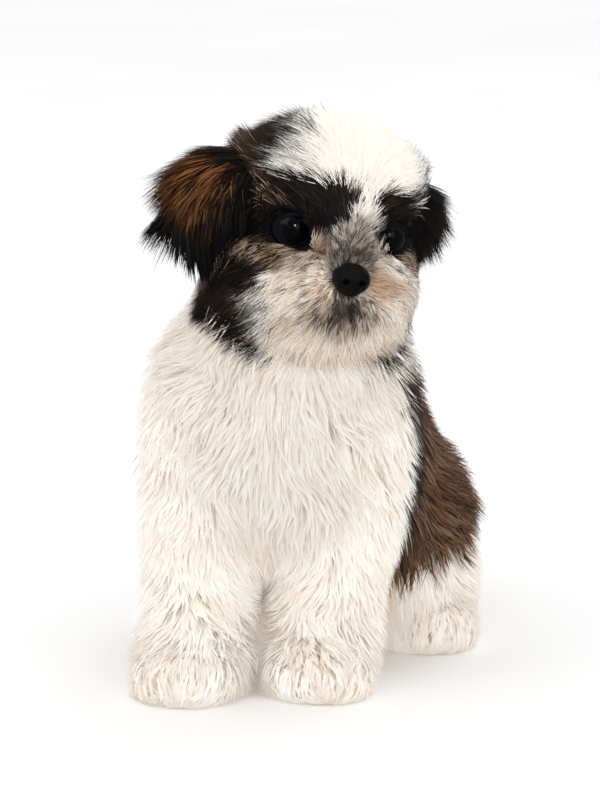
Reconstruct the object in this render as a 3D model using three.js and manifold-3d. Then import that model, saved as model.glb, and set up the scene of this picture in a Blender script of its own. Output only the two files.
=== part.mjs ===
// A sitting shih tzu puppy of about eight weeks, life size, as a still museum model.
// Millimetres, +Z up. X runs to the puppy's left, Y towards its back, Z = 0 is the floor.
// Each body part is a smooth form of cones and ellipsoids with half of its coat's depth on it,
// and the rest of the coat lies on that as flat tapered locks that follow the coat's lie.
import * as THREE from "three";
import { mergeVertices } from "three/addons/utils/BufferGeometryUtils.js";
import Module from "manifold-3d";

const wasm = await Module();
wasm.setup();

// Driving sizes
const GAP = 0.35; // between pieces that touch
const HEAD_CENTRE = [28, 9, 197]; // middle of the braincase above the floor
const HEAD_YAW = 26; // degrees, to the puppy's left
const HEAD_PITCH = 10; // degrees, nose down
const HEAD_ROLL = 8; // degrees, left side down
const EYE_RADIUS = 9;
const EYE_PLACE = [19.5, -15, -3]; // from the middle of the braincase, left eye
const GAZE_OUT = 10; // degrees that each eye looks outwards
const NOSE_PLACE = [0, -41.5, -13.5];
const NOSE_SIZE = [7.2, 5.2, 6.4]; // half width, half depth, half height
const PAW_LEFT = [26, 7]; // forepaws on the floor
const PAW_RIGHT = [-26, -7];
const HIND_PAW_LEFT = [58, 84];
const HIND_PAW_RIGHT = [-18, 71];
const HIND_TOES_OUT = 14; // degrees
const PAW_HALF_WIDTH = 16.5;
const PAW_LENGTH = 38;
const CORE = { head: 6, face: 3, ear: 1.6, neck: 7, torso: 7, leg: 5, paw: 3, tail: 4.5 };

const COLOUR = { white: 0xece6dc, dark: 0x2a231d, brown: 0x6b4c33, skin: 0x1b1817, eye: 0x0b0a0c };

const rad = THREE.MathUtils.degToRad;
const vec = (p) => new THREE.Vector3(...p);

// The head's own frame: X left, Y back, Z up, with its origin in the middle of the braincase.
const headFrame = new THREE.Matrix4()
  .makeTranslation(...HEAD_CENTRE)
  .multiply(new THREE.Matrix4().makeRotationZ(rad(HEAD_YAW)))
  .multiply(new THREE.Matrix4().makeRotationX(rad(HEAD_PITCH)))
  .multiply(new THREE.Matrix4().makeRotationY(rad(HEAD_ROLL)));
const onHead = (p) => vec(p).applyMatrix4(headFrame);
const headWay = (p) => vec(p).transformDirection(headFrame);
const mirrored = (p) => [-p[0], p[1], p[2]];

// Distance to a round cone between two points, and to an ellipsoid, both negative inside.
function cone(a, b, ra, rb) {
  const along = b.clone().sub(a);
  const size = along.lengthSq();
  return (p) => {
    const t = THREE.MathUtils.clamp(p.clone().sub(a).dot(along) / size, 0, 1);
    return p.distanceTo(a.clone().addScaledVector(along, t)) - THREE.MathUtils.lerp(ra, rb, t);
  };
}
function ellipsoid(centre, radii, turn = new THREE.Matrix4()) {
  const back = new THREE.Matrix4().extractRotation(turn).transpose();
  const r = vec(radii);
  return (p) => {
    const q = p.clone().sub(centre).applyMatrix4(back);
    const near = q.clone().divide(r).length();
    const slope = q.clone().divide(r).divide(r).length();
    return slope < 1e-9 ? -Math.min(r.x, r.y, r.z) : (near * (near - 1)) / slope;
  };
}
// The forms flow into one another over the given width.
function blended(forms, width) {
  return (p) =>
    forms
      .map((form) => form(p))
      .reduce((a, b) => {
        const h = Math.max(width - Math.abs(a - b), 0) / width;
        return Math.min(a, b) - (h * h * width) / 4;
      });
}
const headBall = (centre, radii) => ellipsoid(onHead(centre), radii, headFrame);
const pairOnHead = (centre, radii) => [headBall(centre, radii), headBall(mirrored(centre), radii)];

// The skin of each part.
const skin = {
  head: blended(
    [
      headBall([0, 5, 3], [31, 32, 24]),
      headBall([0, -10, 9], [25, 18, 16]),
      ...pairOnHead([18, -6, -15], [15, 19, 16]),
      headBall([0, 8, -16], [24, 24, 22]),
    ],
    9,
  ),
  muzzle: blended(
    [headBall([0, -24, -16], [16, 14, 12]), ...pairOnHead([8.5, -29, -20], [10, 9.5, 8.5])],
    6,
  ),
  jaw: blended([headBall([0, -22, -30.5], [14, 13, 8]), headBall([0, -10, -32], [18, 16, 10])], 6),
  neck: cone(vec([7, 24, 130]), vec([22, 19, 176]), 33, 26),
  torso: blended(
    [
      ellipsoid(vec([19, 112, 40]), [39, 33, 38]),
      ellipsoid(vec([14, 82, 62]), [42, 38, 40]),
      ellipsoid(vec([8, 50, 90]), [43, 36, 40]),
      ellipsoid(vec([4, 25, 108]), [38, 30, 38]),
    ],
    20,
  ),
};
// A foreleg from the shoulder to the wrist, and a hind leg from the hip over the knee to the hock.
const foreleg = (shoulder, elbow, wrist) =>
  blended([cone(vec(shoulder), vec(elbow), 18, 14), cone(vec(elbow), vec(wrist), 14, 11.5)], 12);
const hindLeg = (hip, knee, hock) =>
  blended([cone(vec(hip), vec(knee), 20, 19), cone(vec(knee), vec(hock), 16, 12)], 12);
const LIMBS = {
  foreleg_left: { line: [[34, 26, 112], [30, 20, 62], [27, 11, 26]], of: foreleg },
  foreleg_right: { line: [[-24, 17, 112], [-26, 11, 62], [-25, -2, 26]], of: foreleg },
  hindleg_left: { line: [[46, 108, 46], [47, 84, 42], [55, 112, 15]], of: hindLeg },
  hindleg_right: { line: [[-8, 106, 46], [-10, 76, 42], [-17, 102, 15]], of: hindLeg },
};
for (const [name, limb] of Object.entries(LIMBS)) skin[name] = limb.of(...limb.line);

// A paw stands on the floor: a pad with four toes in front, and a heel that runs back.
function paw(place, turn, heel) {
  const frame = new THREE.Matrix4()
    .makeTranslation(place[0], place[1], 0)
    .multiply(new THREE.Matrix4().makeRotationZ(rad(turn)));
  const at = (p) => vec(p).applyMatrix4(frame);
  const toes = [-1.5, -0.5, 0.5, 1.5].map((side) =>
    ellipsoid(
      at([side * PAW_HALF_WIDTH * 0.46, Math.abs(side) > 1 ? -11 : -15, 6.5]),
      [PAW_HALF_WIDTH * 0.27, 8.5, 7.5],
      frame,
    ),
  );
  const pad = ellipsoid(at([0, -2, 8]), [PAW_HALF_WIDTH * 0.92, PAW_LENGTH * 0.4, 11], frame);
  const back = cone(at([0, 4, 12]), at(heel), 11, 11);
  return { frame, form: blended([...toes, pad, back], 5) };
}
const PAWS = {
  forepaw_left: paw(PAW_LEFT, 6, [0.5, 6, 18]),
  forepaw_right: paw(PAW_RIGHT, -4, [-0.5, 6, 18]),
  hindpaw_left: paw(HIND_PAW_LEFT, HIND_TOES_OUT, [0, 26, 13]),
  hindpaw_right: paw(HIND_PAW_RIGHT, -HIND_TOES_OUT, [0, 26, 13]),
};
for (const [name, made] of Object.entries(PAWS)) skin[name] = made.form;

// The tail lies on the floor and curls to the right behind the rump.
const tailLine = new THREE.CatmullRomCurve3(
  [[19, 138, 30], [22, 156, 15], [10, 171, 10.5], [-12, 176, 10], [-34, 168, 9.5]].map(vec),
);
const tailPoints = tailLine.getPoints(8);
skin.tail = blended(
  tailPoints.slice(1).map((b, i) => cone(tailPoints[i], b, 8 - i * 0.4, 7.6 - i * 0.4)),
  6,
);

// Bare places: hair is short round the eyes, on the nose and at the lips, in the head's frame.
const BARE = [
  { at: onHead([EYE_PLACE[0], EYE_PLACE[1] - 7, EYE_PLACE[2]]), none: 8, full: 24 },
  { at: onHead([-EYE_PLACE[0], EYE_PLACE[1] - 7, EYE_PLACE[2]]), none: 8, full: 24 },
  { at: onHead(NOSE_PLACE), none: 9, full: 30 },
];
const fullness = (p) =>
  BARE.reduce((f, b) => f * THREE.MathUtils.smoothstep(p.distanceTo(b.at), b.none, b.full), 1);
const CORE_OF = (name) =>
  name.startsWith("foreleg") || name.startsWith("hindleg")
    ? CORE.leg
    : name.includes("paw")
      ? CORE.paw
      : { muzzle: CORE.face, jaw: CORE.face }[name] || CORE[name];
// The core's own surface: the skin with the inner part of the coat on it.
const core = Object.fromEntries(
  Object.entries(skin).map(([name, form]) => {
    const depth = CORE_OF(name);
    const onFace = ["head", "muzzle", "jaw"].includes(name);
    return [name, (p) => form(p) - 0.8 - (depth - 0.8) * (onFace ? fullness(p) : 1)];
  }),
);

// A geometry with only its positions left and its shared corners merged.
function bare(geometry) {
  geometry.deleteAttribute("normal");
  geometry.deleteAttribute("uv");
  return mergeVertices(geometry, 1e-4);
}
function solid(geometry) {
  const made = new wasm.Manifold(
    new wasm.Mesh({
      numProp: 3,
      vertProperties: new Float32Array(geometry.attributes.position.array),
      triVerts: new Uint32Array(geometry.index.array),
    }),
  );
  return made;
}
// Moves each corner of a geometry to where the function sends it.
function moved(geometry, send) {
  const place = geometry.attributes.position;
  for (let i = 0; i < place.count; i++) {
    const p = send(new THREE.Vector3().fromBufferAttribute(place, i));
    place.setXYZ(i, p.x, p.y, p.z);
  }
  return geometry;
}

// How far along a ray from inside the surface lies.
const REACH = 140;
const MARCH = 1.5;
function reach(form, from, way) {
  let near = 0;
  while (near < REACH && form(from.clone().addScaledVector(way, near)) < 0) near += MARCH;
  let low = Math.max(near - MARCH, 0);
  let high = near;
  for (let i = 0; i < 12; i++) {
    const middle = (low + high) / 2;
    if (form(from.clone().addScaledVector(way, middle)) < 0) low = middle;
    else high = middle;
  }
  return high;
}
// The way out of a form at a point, square to its surface.
const PROBE = 0.5;
function outward(form, p) {
  const slope = ["x", "y", "z"].map((axis) => {
    const ahead = p.clone();
    const behind = p.clone();
    ahead[axis] += PROBE;
    behind[axis] -= PROBE;
    return form(ahead) - form(behind);
  });
  return vec(slope).normalize();
}
// A wrap reads a form along an axis line: v runs from one end's pole to the other's, u goes round.
function wrapPoint(wrap, u, v) {
  const line = wrap.curve;
  const t = THREE.MathUtils.clamp((v - wrap.cap) / (1 - 2 * wrap.cap), 0, 1);
  const origin = line.getPoint(t);
  const along = line.getTangent(t);
  const side = wrap.side.clone().addScaledVector(along, -wrap.side.dot(along)).normalize();
  const other = along.clone().cross(side);
  const tip = v < wrap.cap ? 1 - v / wrap.cap : v > 1 - wrap.cap ? (v - 1 + wrap.cap) / wrap.cap : 0;
  const rise = (v < 0.5 ? -1 : 1) * Math.sin((tip * Math.PI) / 2);
  const out = Math.cos((tip * Math.PI) / 2);
  const way = side
    .multiplyScalar(Math.cos(u) * out)
    .addScaledVector(other, Math.sin(u) * out)
    .addScaledVector(along, rise)
    .normalize();
  return origin.addScaledVector(way, reach(wrap.form, origin, way));
}
function wrapped(wrap, grow) {
  const ball = bare(new THREE.SphereGeometry(1, wrap.around, wrap.rows));
  return solid(
    moved(ball, (d) => {
      const v = Math.acos(THREE.MathUtils.clamp(-d.y, -1, 1)) / Math.PI;
      const p = wrapPoint(wrap, Math.atan2(-d.z, d.x), v);
      return p.addScaledVector(outward(wrap.form, p), grow);
    }),
  );
}
function makeWrap(name, points, side, around, rows, cap) {
  const curve = new THREE.CatmullRomCurve3(points);
  return { form: core[name], curve, side: side.normalize(), around, rows, cap };
}
const X = vec([1, 0, 0]);
const WRAPS = {
  head: makeWrap("head", [onHead([0, 0, -8]), onHead([0, 0, 3])], headWay([1, 0, 0]), 24, 13, 0.4),
  muzzle: makeWrap("muzzle", [onHead([0, -16, -18]), onHead([0, -29, -18])], headWay([1, 0, 0]), 16, 10, 0.4),
  jaw: makeWrap("jaw", [onHead([0, -7, -32]), onHead([0, -23, -31])], headWay([1, 0, 0]), 12, 8, 0.38),
  neck: makeWrap("neck", [vec([9, 24, 138]), vec([20, 19, 172])], X.clone(), 13, 7, 0.3),
  torso: makeWrap(
    "torso",
    [vec([19, 112, 42]), vec([14, 82, 64]), vec([8, 50, 90]), vec([4, 28, 112])],
    X.clone(),
    16,
    11,
    0.24,
  ),
  tail: makeWrap("tail", tailPoints.slice(1, -1), vec([0, 0, 1]), 8, 12, 0.12),
};
for (const [name, limb] of Object.entries(LIMBS)) {
  const line = limb.line.map(vec);
  if (name.startsWith("fore")) {
    WRAPS[name] = makeWrap(name, line, X.clone(), 11, 9, 0.2);
  } else {
    const thigh = [line[0], line[1].clone().lerp(line[2], 0.25)];
    WRAPS[name] = makeWrap(name, thigh, X.clone(), 12, 9, 0.36);
  }
}
for (const [name, made] of Object.entries(PAWS)) {
  const hind = name.startsWith("hind");
  const line = [[0, hind ? 22 : 4, 12], [0, -8, 8]].map((p) => vec(p).applyMatrix4(made.frame));
  WRAPS[name] = makeWrap(name, line, vec([1, 0, 0]).transformDirection(made.frame), 16, 9, 0.34);
}

const floorBlock = solid(bare(new THREE.BoxGeometry(800, 800, 200).translate(0, 0, -100)));
const union = (pieces) => wasm.Manifold.union(pieces);
const biggest = (made) => made.decompose().reduce((a, b) => (b.volume() > a.volume() ? b : a));
// The corners of a body on a fine grid, where those that lie very close together are one.
const GRID = 0.002;
const SHORTEST = 0.01;
function onGrid(made) {
  const mesh = made.getMesh();
  const geometry = new THREE.BufferGeometry();
  const places = Float32Array.from(mesh.vertProperties, (value) => Math.round(value / GRID) * GRID);
  geometry.setAttribute("position", new THREE.BufferAttribute(places, 3));
  geometry.setIndex(new THREE.BufferAttribute(mesh.triVerts, 1));
  const joined = mergeVertices(geometry, GRID / 4);
  const place = joined.attributes.position;
  const corners = Array.from({ length: place.count }, (_, i) => vec([place.getX(i), place.getY(i), place.getZ(i)]));
  const order = Array.from(joined.index.array);
  const into = corners.map((_, i) => i);
  const last = (i) => (into[i] === i ? i : last(into[i]));
  for (let i = 0; i < order.length; i++) {
    const [a, b] = [last(order[i]), last(order[i % 3 === 2 ? i - 2 : i + 1])];
    if (a !== b && corners[a].distanceTo(corners[b]) < SHORTEST) into[a] = b;
  }
  return { corners, faces: facesLeft(order.map(last)) };
}
// The faces with three different corners. Two on the same corners are a fin with no thickness, and both go.
function facesLeft(order) {
  const faces = new Map();
  for (let i = 0; i < order.length; i += 3) {
    const face = order.slice(i, i + 3);
    const key = face.toSorted((a, b) => a - b).join();
    if (new Set(face).size < 3) continue;
    if (faces.has(key)) faces.delete(key);
    else faces.set(key, face);
  }
  return [...faces.values()];
}
// The height of a face over its longest side, and which side that is.
function slimness(corners, face) {
  const [a, b, c] = face.map((i) => corners[i]);
  const sides = [a.distanceTo(b), b.distanceTo(c), c.distanceTo(a)];
  const longest = Math.max(...sides);
  const doubled = b.clone().sub(a).cross(c.clone().sub(a)).length();
  return { side: sides.indexOf(longest), height: doubled / longest };
}
// A face that is almost a line and its neighbour over its longest side are divided the other way.
// What comes back is a corner of one that can't be, or nothing.
const THINNEST = 0.002;
const ROUNDS = 6;
function divideThinFaces({ corners, faces }) {
  const thin = () => faces.filter((face) => slimness(corners, face).height < THINNEST);
  for (let round = 0; round < ROUNDS; round++) {
    for (const face of thin()) {
      const { side, height } = slimness(corners, face);
      const [a, b, c] = [0, 1, 2].map((step) => face[(side + step) % 3]);
      const next = faces.find((other) => other !== face && other.includes(a) && other.includes(b));
      const d = next.find((i) => i !== a && i !== b);
      const turned = [
        [a, d, c],
        [d, b, c],
      ];
      const better = turned.every((made) => slimness(corners, made).height > height);
      if (!better || faces.some((other) => other.includes(c) && other.includes(d))) continue;
      face.splice(0, 3, ...turned[0]);
      next.splice(0, 3, ...turned[1]);
    }
  }
  const [left] = thin();
  return left && corners[left[0]];
}
// A place where an edge has more or fewer than two faces, as two sheets that touch there leave it.
function pinchedEdge({ corners, faces }) {
  const uses = new Map();
  for (const face of faces) {
    face.forEach((a, i) => {
      const key = [a, face[(i + 1) % 3]].sort((one, two) => one - two).join();
      uses.set(key, (uses.get(key) || 0) + 1);
    });
  }
  const [found] = [...uses].filter(([, count]) => count !== 2);
  return found && corners[parseInt(found[0])];
}
// A corner that lies on an edge of other faces, as sheets that only just touch leave it.
const TOUCHES = 0.001;
function touchingCorner({ corners, faces }) {
  const used = [...new Set(faces.flat())];
  const box = new THREE.Box3();
  const edge = new THREE.Line3();
  const nearest = new THREE.Vector3();
  const touches = (p) =>
    box.containsPoint(p) && edge.closestPointToPoint(p, true, nearest).distanceTo(p) < TOUCHES;
  for (const face of faces) {
    for (const [i, a] of face.entries()) {
      const b = face[(i + 1) % 3];
      if (a > b) continue;
      edge.set(corners[a], corners[b]);
      box.setFromPoints([edge.start, edge.end]).expandByScalar(TOUCHES);
      const found = used.find((k) => k !== a && k !== b && touches(corners[k]));
      if (found !== undefined) return corners[found];
    }
  }
}
// The one closed body that a part keeps, or the place where it can't be one.
function keptBody(made) {
  let kept = biggest(made);
  for (;;) {
    const mesh = onGrid(kept);
    const pinch = pinchedEdge(mesh) || divideThinFaces(mesh) || touchingCorner(mesh);
    if (pinch) return { pinch };
    const geometry = new THREE.BufferGeometry();
    const places = mesh.corners.flatMap((corner) => corner.toArray());
    geometry.setAttribute("position", new THREE.Float32BufferAttribute(places, 3));
    geometry.setIndex(mesh.faces.flat());
    const body = solid(mergeVertices(geometry, GRID / 4));
    if (body.decompose().length === 1) return { body };
    kept = biggest(body);
  }
}
function blockOver(box) {
  const size = box.getSize(new THREE.Vector3());
  const centre = box.getCenter(new THREE.Vector3());
  return solid(bare(new THREE.BoxGeometry(...size).translate(...centre)));
}

// Eyes: a ball in its socket, with the lids as a rim that lies on the ball.
const eyePlace = (side) => onHead([side * EYE_PLACE[0], EYE_PLACE[1], EYE_PLACE[2]]);
const gaze = (side) => headWay([side * Math.sin(rad(GAZE_OUT)), -Math.cos(rad(GAZE_OUT)), 0.04]);
function eyeBall(side) {
  const at = eyePlace(side);
  return solid(bare(new THREE.SphereGeometry(EYE_RADIUS, 14, 10)).translate(at.x, at.y, at.z));
}
// The socket has fewer sides than the eye, so it is made larger by what those sides cut off.
const SOCKET_SIDES = 11;
function eyeSocket(side, grow) {
  const at = eyePlace(side);
  const size = (EYE_RADIUS + grow) / Math.cos(Math.PI / SOCKET_SIDES);
  return solid(bare(new THREE.SphereGeometry(size, SOCKET_SIDES, 8)).translate(at.x, at.y, at.z));
}
const LID_REACH = [54, 45]; // degrees from the gaze to the lids, across and up
const LID_THICK = 1.5;
function lidRim(side, grow) {
  const ahead = gaze(side);
  const across = headWay([1, 0, 0]).cross(ahead).cross(ahead).normalize();
  const up = ahead.clone().cross(across);
  const ring = bare(new THREE.TorusGeometry(1, 0.3, 4, 14));
  return solid(
    moved(ring, (p) => {
      const round = Math.atan2(p.y, p.x);
      const inward = (Math.hypot(p.x, p.y) - 1) / 0.3;
      const open = Math.hypot(LID_REACH[0] * Math.cos(round), LID_REACH[1] * Math.sin(round));
      const thick = LID_THICK + grow;
      const angle = rad(open) + (inward * thick) / EYE_RADIUS;
      const height = EYE_RADIUS + 0.6 + (p.z / 0.3) * thick;
      const rise = Math.sin(angle) * height;
      return eyePlace(side)
        .addScaledVector(ahead, Math.cos(angle) * height)
        .addScaledVector(across, Math.cos(round) * rise)
        .addScaledVector(up, Math.sin(round) * rise);
    }),
  );
}
// What clears the view of the eye: a ball in front of it, as wide as the open lids.
function eyeOpening(side) {
  const at = eyePlace(side).addScaledVector(gaze(side), 9.5);
  const ball = bare(new THREE.SphereGeometry(1, 14, 10)).scale(7.6, 9, 6.6);
  return solid(ball.applyMatrix4(new THREE.Matrix4().extractRotation(headFrame)).translate(at.x, at.y, at.z));
}

// The nose leather, with a nostril cut into each side and a groove down its middle.
function noseLeather(grow) {
  const ball = bare(new THREE.SphereGeometry(1, 13, 9));
  const shaped = moved(ball, (p) => {
    const narrow = 1 - 0.28 * Math.max(-p.z, 0);
    return onHead([
      NOSE_PLACE[0] + p.x * (NOSE_SIZE[0] + grow) * narrow,
      NOSE_PLACE[1] + p.y * (NOSE_SIZE[1] + grow),
      NOSE_PLACE[2] + p.z * (NOSE_SIZE[2] + grow),
    ]);
  });
  return solid(shaped);
}
function nose() {
  const front = NOSE_PLACE[1] - NOSE_SIZE[1];
  const nostril = (side) =>
    solid(
      bare(new THREE.SphereGeometry(1, 7, 5))
        .scale(1.35, 3, 1.7)
        .rotateY(side * 0.5)
        .translate(side * 3.3, front + 1.2, NOSE_PLACE[2] - 0.6)
        .applyMatrix4(headFrame),
    );
  const groove = solid(
    bare(new THREE.BoxGeometry(0.7, 2, 7).translate(0, front + 0.2, NOSE_PLACE[2] - 4)).applyMatrix4(
      headFrame,
    ),
  );
  return noseLeather(0).subtract(union([nostril(1), nostril(-1), groove]));
}

// A drop ear: a leather flap that folds over at its root, hollow on the side that faces the head.
// Its outer side is turned forwards by some degrees.
const EARS = {
  ear_right: { root: [-30, 8, 18], tip: [-59, 4, -10], back: 6, lift: 11, face: 20 },
  ear_left: { root: [28, 8, 14], tip: [40, 8, -22], back: 5, lift: 10, face: 24 },
};
const EAR_THICK = 2.4;
const EAR_HALF_WIDTH = 17;
function earPoint(ear, s, w, depth) {
  const root = vec(ear.root);
  const tip = vec(ear.tip);
  const middle = root.clone().lerp(tip, s);
  const side = Math.sign(ear.root[0]);
  const [ahead, aside] = [Math.sin(rad(ear.face)), Math.cos(rad(ear.face))];
  const out = vec([side * aside * 0.8, -ahead * 0.8, 0.6]);
  const across = vec([side * ahead, aside, 0]);
  const width = EAR_HALF_WIDTH * (0.62 + 0.75 * s - 0.9 * s * s * s);
  const bulge = ear.lift * Math.sin(Math.PI * Math.min(s * 1.15, 1)) * (1 - 0.45 * w * w);
  const cup = -5 * w * w;
  return middle
    .addScaledVector(out, bulge + cup + depth)
    .addScaledVector(across, w * width + ear.back * s)
    .add(vec([0, 0, -4 * Math.abs(w) * s]));
}
function earFlap(ear, grow) {
  const block = bare(new THREE.BoxGeometry(2, 2, 1, 4, 5, 1));
  const shaped = moved(block, (p) => {
    const rise = (p.y + 1) / 2;
    const s = -0.06 + (rise * 1.06) + (grow / 40) * (rise * 2 - 1);
    const round = Math.sqrt(Math.max(1 - Math.pow(Math.max(rise - 0.55, 0) / 0.45, 2) * 0.75, 0));
    const w = p.x * round * (1 + grow / EAR_HALF_WIDTH);
    return onHead(earPoint(ear, s, w, p.z * (EAR_THICK + 2 * CORE.ear) + Math.sign(p.z) * grow).toArray());
  });
  const made = solid(shaped);
  return made.volume() < 0 ? solid(turnedOut(shaped)) : made;
}
function turnedOut(geometry) {
  const order = geometry.index.array;
  for (let i = 0; i < order.length; i += 3) [order[i], order[i + 1]] = [order[i + 1], order[i]];
  return geometry;
}

// The ground that the locks lie on: the floor and the cores of all parts, flowing into one another.
const FLOOR_CLEAR = 1.3;
const ground = blended([...Object.values(core), (p) => p.z - FLOOR_CLEAR / 2], 6);
const tangent = (way, up) => way.clone().addScaledVector(up, -way.dot(up)).normalize();
function onGround(p) {
  for (let i = 0; i < 3; i++) p.addScaledVector(outward(ground, p), -ground(p));
  return p;
}

// A seeded draw, so that each lock differs a little and always in the same way.
let seed = 20250;
function draw(low, high) {
  seed = (seed * 48271) % 2147483647;
  return low + ((high - low) * seed) / 2147483647;
}

// The path of a lock: its root is sunk in the core, and it rises along the coat's lie to its tip.
const SUNK = 2.6;
const STEPS = 3;
function lockPath(root, lie, length, rise) {
  const path = [];
  const p = root.clone();
  const bend = draw(-0.16, 0.16);
  for (let i = 0; i <= STEPS; i++) {
    const s = i / STEPS;
    const up = outward(ground, p);
    const along = tangent(lie(p), up);
    along.addScaledVector(along.clone().cross(up), bend * s).normalize();
    const at = p.clone().addScaledVector(up, THREE.MathUtils.lerp(-SUNK, rise, Math.pow(s, 0.85)));
    at.z = Math.max(at.z, FLOOR_CLEAR);
    path.push({ at, up, along, side: along.clone().cross(up) });
    onGround(p.addScaledVector(along, length / STEPS));
  }
  return path;
}
// Whether a path never turns sharply, so that a wide lock on it doesn't fold into itself.
const SHARPEST = 0.5; // cosine of the largest turn between two steps
function runsSmooth(path) {
  const steps = path.slice(1).map((station, i) => station.at.clone().sub(path[i].at));
  return steps.every((step, i) => i === 0 || step.angleTo(steps[i - 1]) < Math.acos(SHARPEST));
}
// A lock is a flat three-sided strand with a low ridge, widest near its middle and pointed at its tip.
// How much further the sides and tip, the ridge and the base of a grown lock stand out than its growth,
// so that its thin edges stay inside.
const SIDE_GROWTH = 5;
const RIDGE_GROWTH = 2.4;
const BASE_GROWTH = 1.6;
const SIDE_OF_THREE = Math.sin(Math.PI / 3); // how far a three-sided strand's edges stand from its middle
const TIP = 0.99; // past this share of its length a lock is its tip
function lock({ path, width, thick }, grow) {
  const strand = bare(new THREE.ConeGeometry(1, 1, 3, STEPS));
  const half = width / 2 + SIDE_GROWTH * grow;
  return solid(
    moved(strand, (p) => {
      const s = p.y + 0.5;
      const round = Math.hypot(p.x, p.z);
      const across = round > 1e-6 ? p.x / round / SIDE_OF_THREE : 0;
      const ridge = round > 1e-6 && p.z / round > 0.9;
      const taper = Math.pow(1 - s, 0.55) * (0.75 + s);
      const station = path[Math.round(s * STEPS)];
      const height = ridge ? thick * Math.min(taper, 1) + RIDGE_GROWTH * grow : -BASE_GROWTH * grow;
      const at = station.at.clone();
      if (s > TIP) return at.addScaledVector(station.along, SIDE_GROWTH * grow);
      return at
        .addScaledVector(station.side, across * half * taper)
        .addScaledVector(station.up, height);
    }),
  );
}

// Each part's plain form, and the parts that it yields to where they meet.
function plain(name, grow) {
  if (name === "nose") return noseLeather(grow);
  if (name.startsWith("eye")) {
    const side = name.endsWith("left") ? 1 : -1;
    return grow > 0 ? eyeSocket(side, grow) : eyeBall(side);
  }
  if (name.startsWith("ear")) return earFlap(EARS[name], grow);
  return wrapped(WRAPS[name], grow);
}
const YIELDS = {
  nose: [],
  eye_left: [],
  eye_right: [],
  muzzle: ["nose", "eye_left", "eye_right"],
  jaw: ["muzzle"],
  head: ["eye_left", "eye_right", "nose", "muzzle", "jaw"],
  ear_left: ["head"],
  ear_right: ["head"],
  neck: ["head", "jaw", "ear_left", "ear_right"],
  forepaw_left: [],
  forepaw_right: [],
  foreleg_left: ["forepaw_left", "neck"],
  foreleg_right: ["forepaw_right", "neck", "foreleg_left"],
  hindpaw_left: [],
  hindpaw_right: [],
  hindleg_left: ["hindpaw_left"],
  hindleg_right: ["hindpaw_right", "hindleg_left"],
  torso: ["neck", "foreleg_left", "foreleg_right", "hindleg_left", "hindleg_right", "hindpaw_right", "hindpaw_left"],
  tail: ["torso"],
};
// Where each part's locks have their roots, and the way the coat lies there.
const NOSE_AT = onHead(NOSE_PLACE);
const DOWN = vec([0, 0, -1]);
const fromNose = (drop) => (p) => p.clone().sub(NOSE_AT).normalize().addScaledVector(DOWN, drop);
const chestLie = (p) => vec([0.012 * (p.x - 8), -0.15, -1]);
const backLie = (p) => vec([0.008 * (p.x - 14), 0.75, -0.85]);
// The coat of the trunk runs down the chest in front and along the back behind.
function trunkLie(p) {
  const back = THREE.MathUtils.smoothstep(p.y + (p.z - 100) * 0.4, 22, 60);
  return chestLie(p).lerp(backLie(p), back);
}
const limbLie = (name) => (p) => {
  const line = LIMBS[name].line;
  const axis = new THREE.Line3(vec(line[0]), vec(line[2])).closestPointToPoint(p, true, vec([0, 0, 0]));
  const out = p.clone().sub(axis).setZ(0).normalize();
  return out.multiplyScalar(0.18).add(vec([0, name.startsWith("hind") ? 0.25 : 0.1, -1]));
};
const pawLie = (name) => {
  const ahead = vec([0, -1, 0]).transformDirection(PAWS[name].frame);
  return () => ahead.clone().add(vec([0, 0, -0.55]));
};
function tailLie(p) {
  const near = tailPoints.reduce((a, b, i) => (b.distanceTo(p) < tailPoints[a].distanceTo(p) ? i : a), 0);
  return tailLine.getTangent(near / (tailPoints.length - 1));
}
// Rows of locks: v from one end of the wrap to the other, and how many stand in each row.
const ROWS = {
  neck: { rows: 3, from: 0.36, to: 0.76, around: 8, length: 38, width: 24, rise: 5, lie: trunkLie },
  torso: { rows: 6, from: 0.14, to: 0.9, around: 9, length: 50, width: 27, rise: 7, lie: trunkLie },
  tail: { rows: 3, from: 0.26, to: 0.9, around: 4, length: 30, width: 14, rise: 5, lie: tailLie },
};
for (const name of Object.keys(LIMBS)) {
  const fore = name.startsWith("fore");
  ROWS[name] = fore
    ? { rows: 4, from: 0.24, to: 0.72, around: 5, length: 35, width: 19, rise: 5.5, lie: limbLie(name) }
    : { rows: 4, from: 0.2, to: 0.86, around: 6, length: 32, width: 18, rise: 6, lie: limbLie(name) };
}
for (const name of Object.keys(PAWS)) {
  ROWS[name] = { rows: 2, from: 0.48, to: 0.7, around: 6, length: 16, width: 10, rise: 3, lie: pawLie(name) };
}
// A root is kept where its own part is the outermost.
const SHOWS = -1;
const showing = (name, p) =>
  Object.entries(core).every(([other, form]) => other === name || form(p) > SHOWS) && p.z > 4;
const UNDERSIDE = -0.85;
function rowLocks(name) {
  const wrap = WRAPS[name];
  const { rows, from, to, around, length, width, rise, lie } = ROWS[name];
  const locks = [];
  for (let row = 0; row < rows; row++) {
    const v = THREE.MathUtils.lerp(from, to, rows > 1 ? row / (rows - 1) : 0);
    for (let i = 0; i < around; i++) {
      const u = ((i + (row % 2) / 2 + draw(-0.15, 0.15)) / around) * Math.PI * 2;
      const root = wrapPoint(wrap, u, v + draw(-0.012, 0.012));
      if (!showing(name, root) || outward(core[name], root).z < UNDERSIDE) continue;
      const size = draw(0.88, 1.12);
      const path = lockPath(root, lie, length * size, rise * draw(0.85, 1.1));
      if (runsSmooth(path)) locks.push({ path, width: width * size, thick: width * 0.2 });
    }
  }
  return locks;
}
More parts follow.
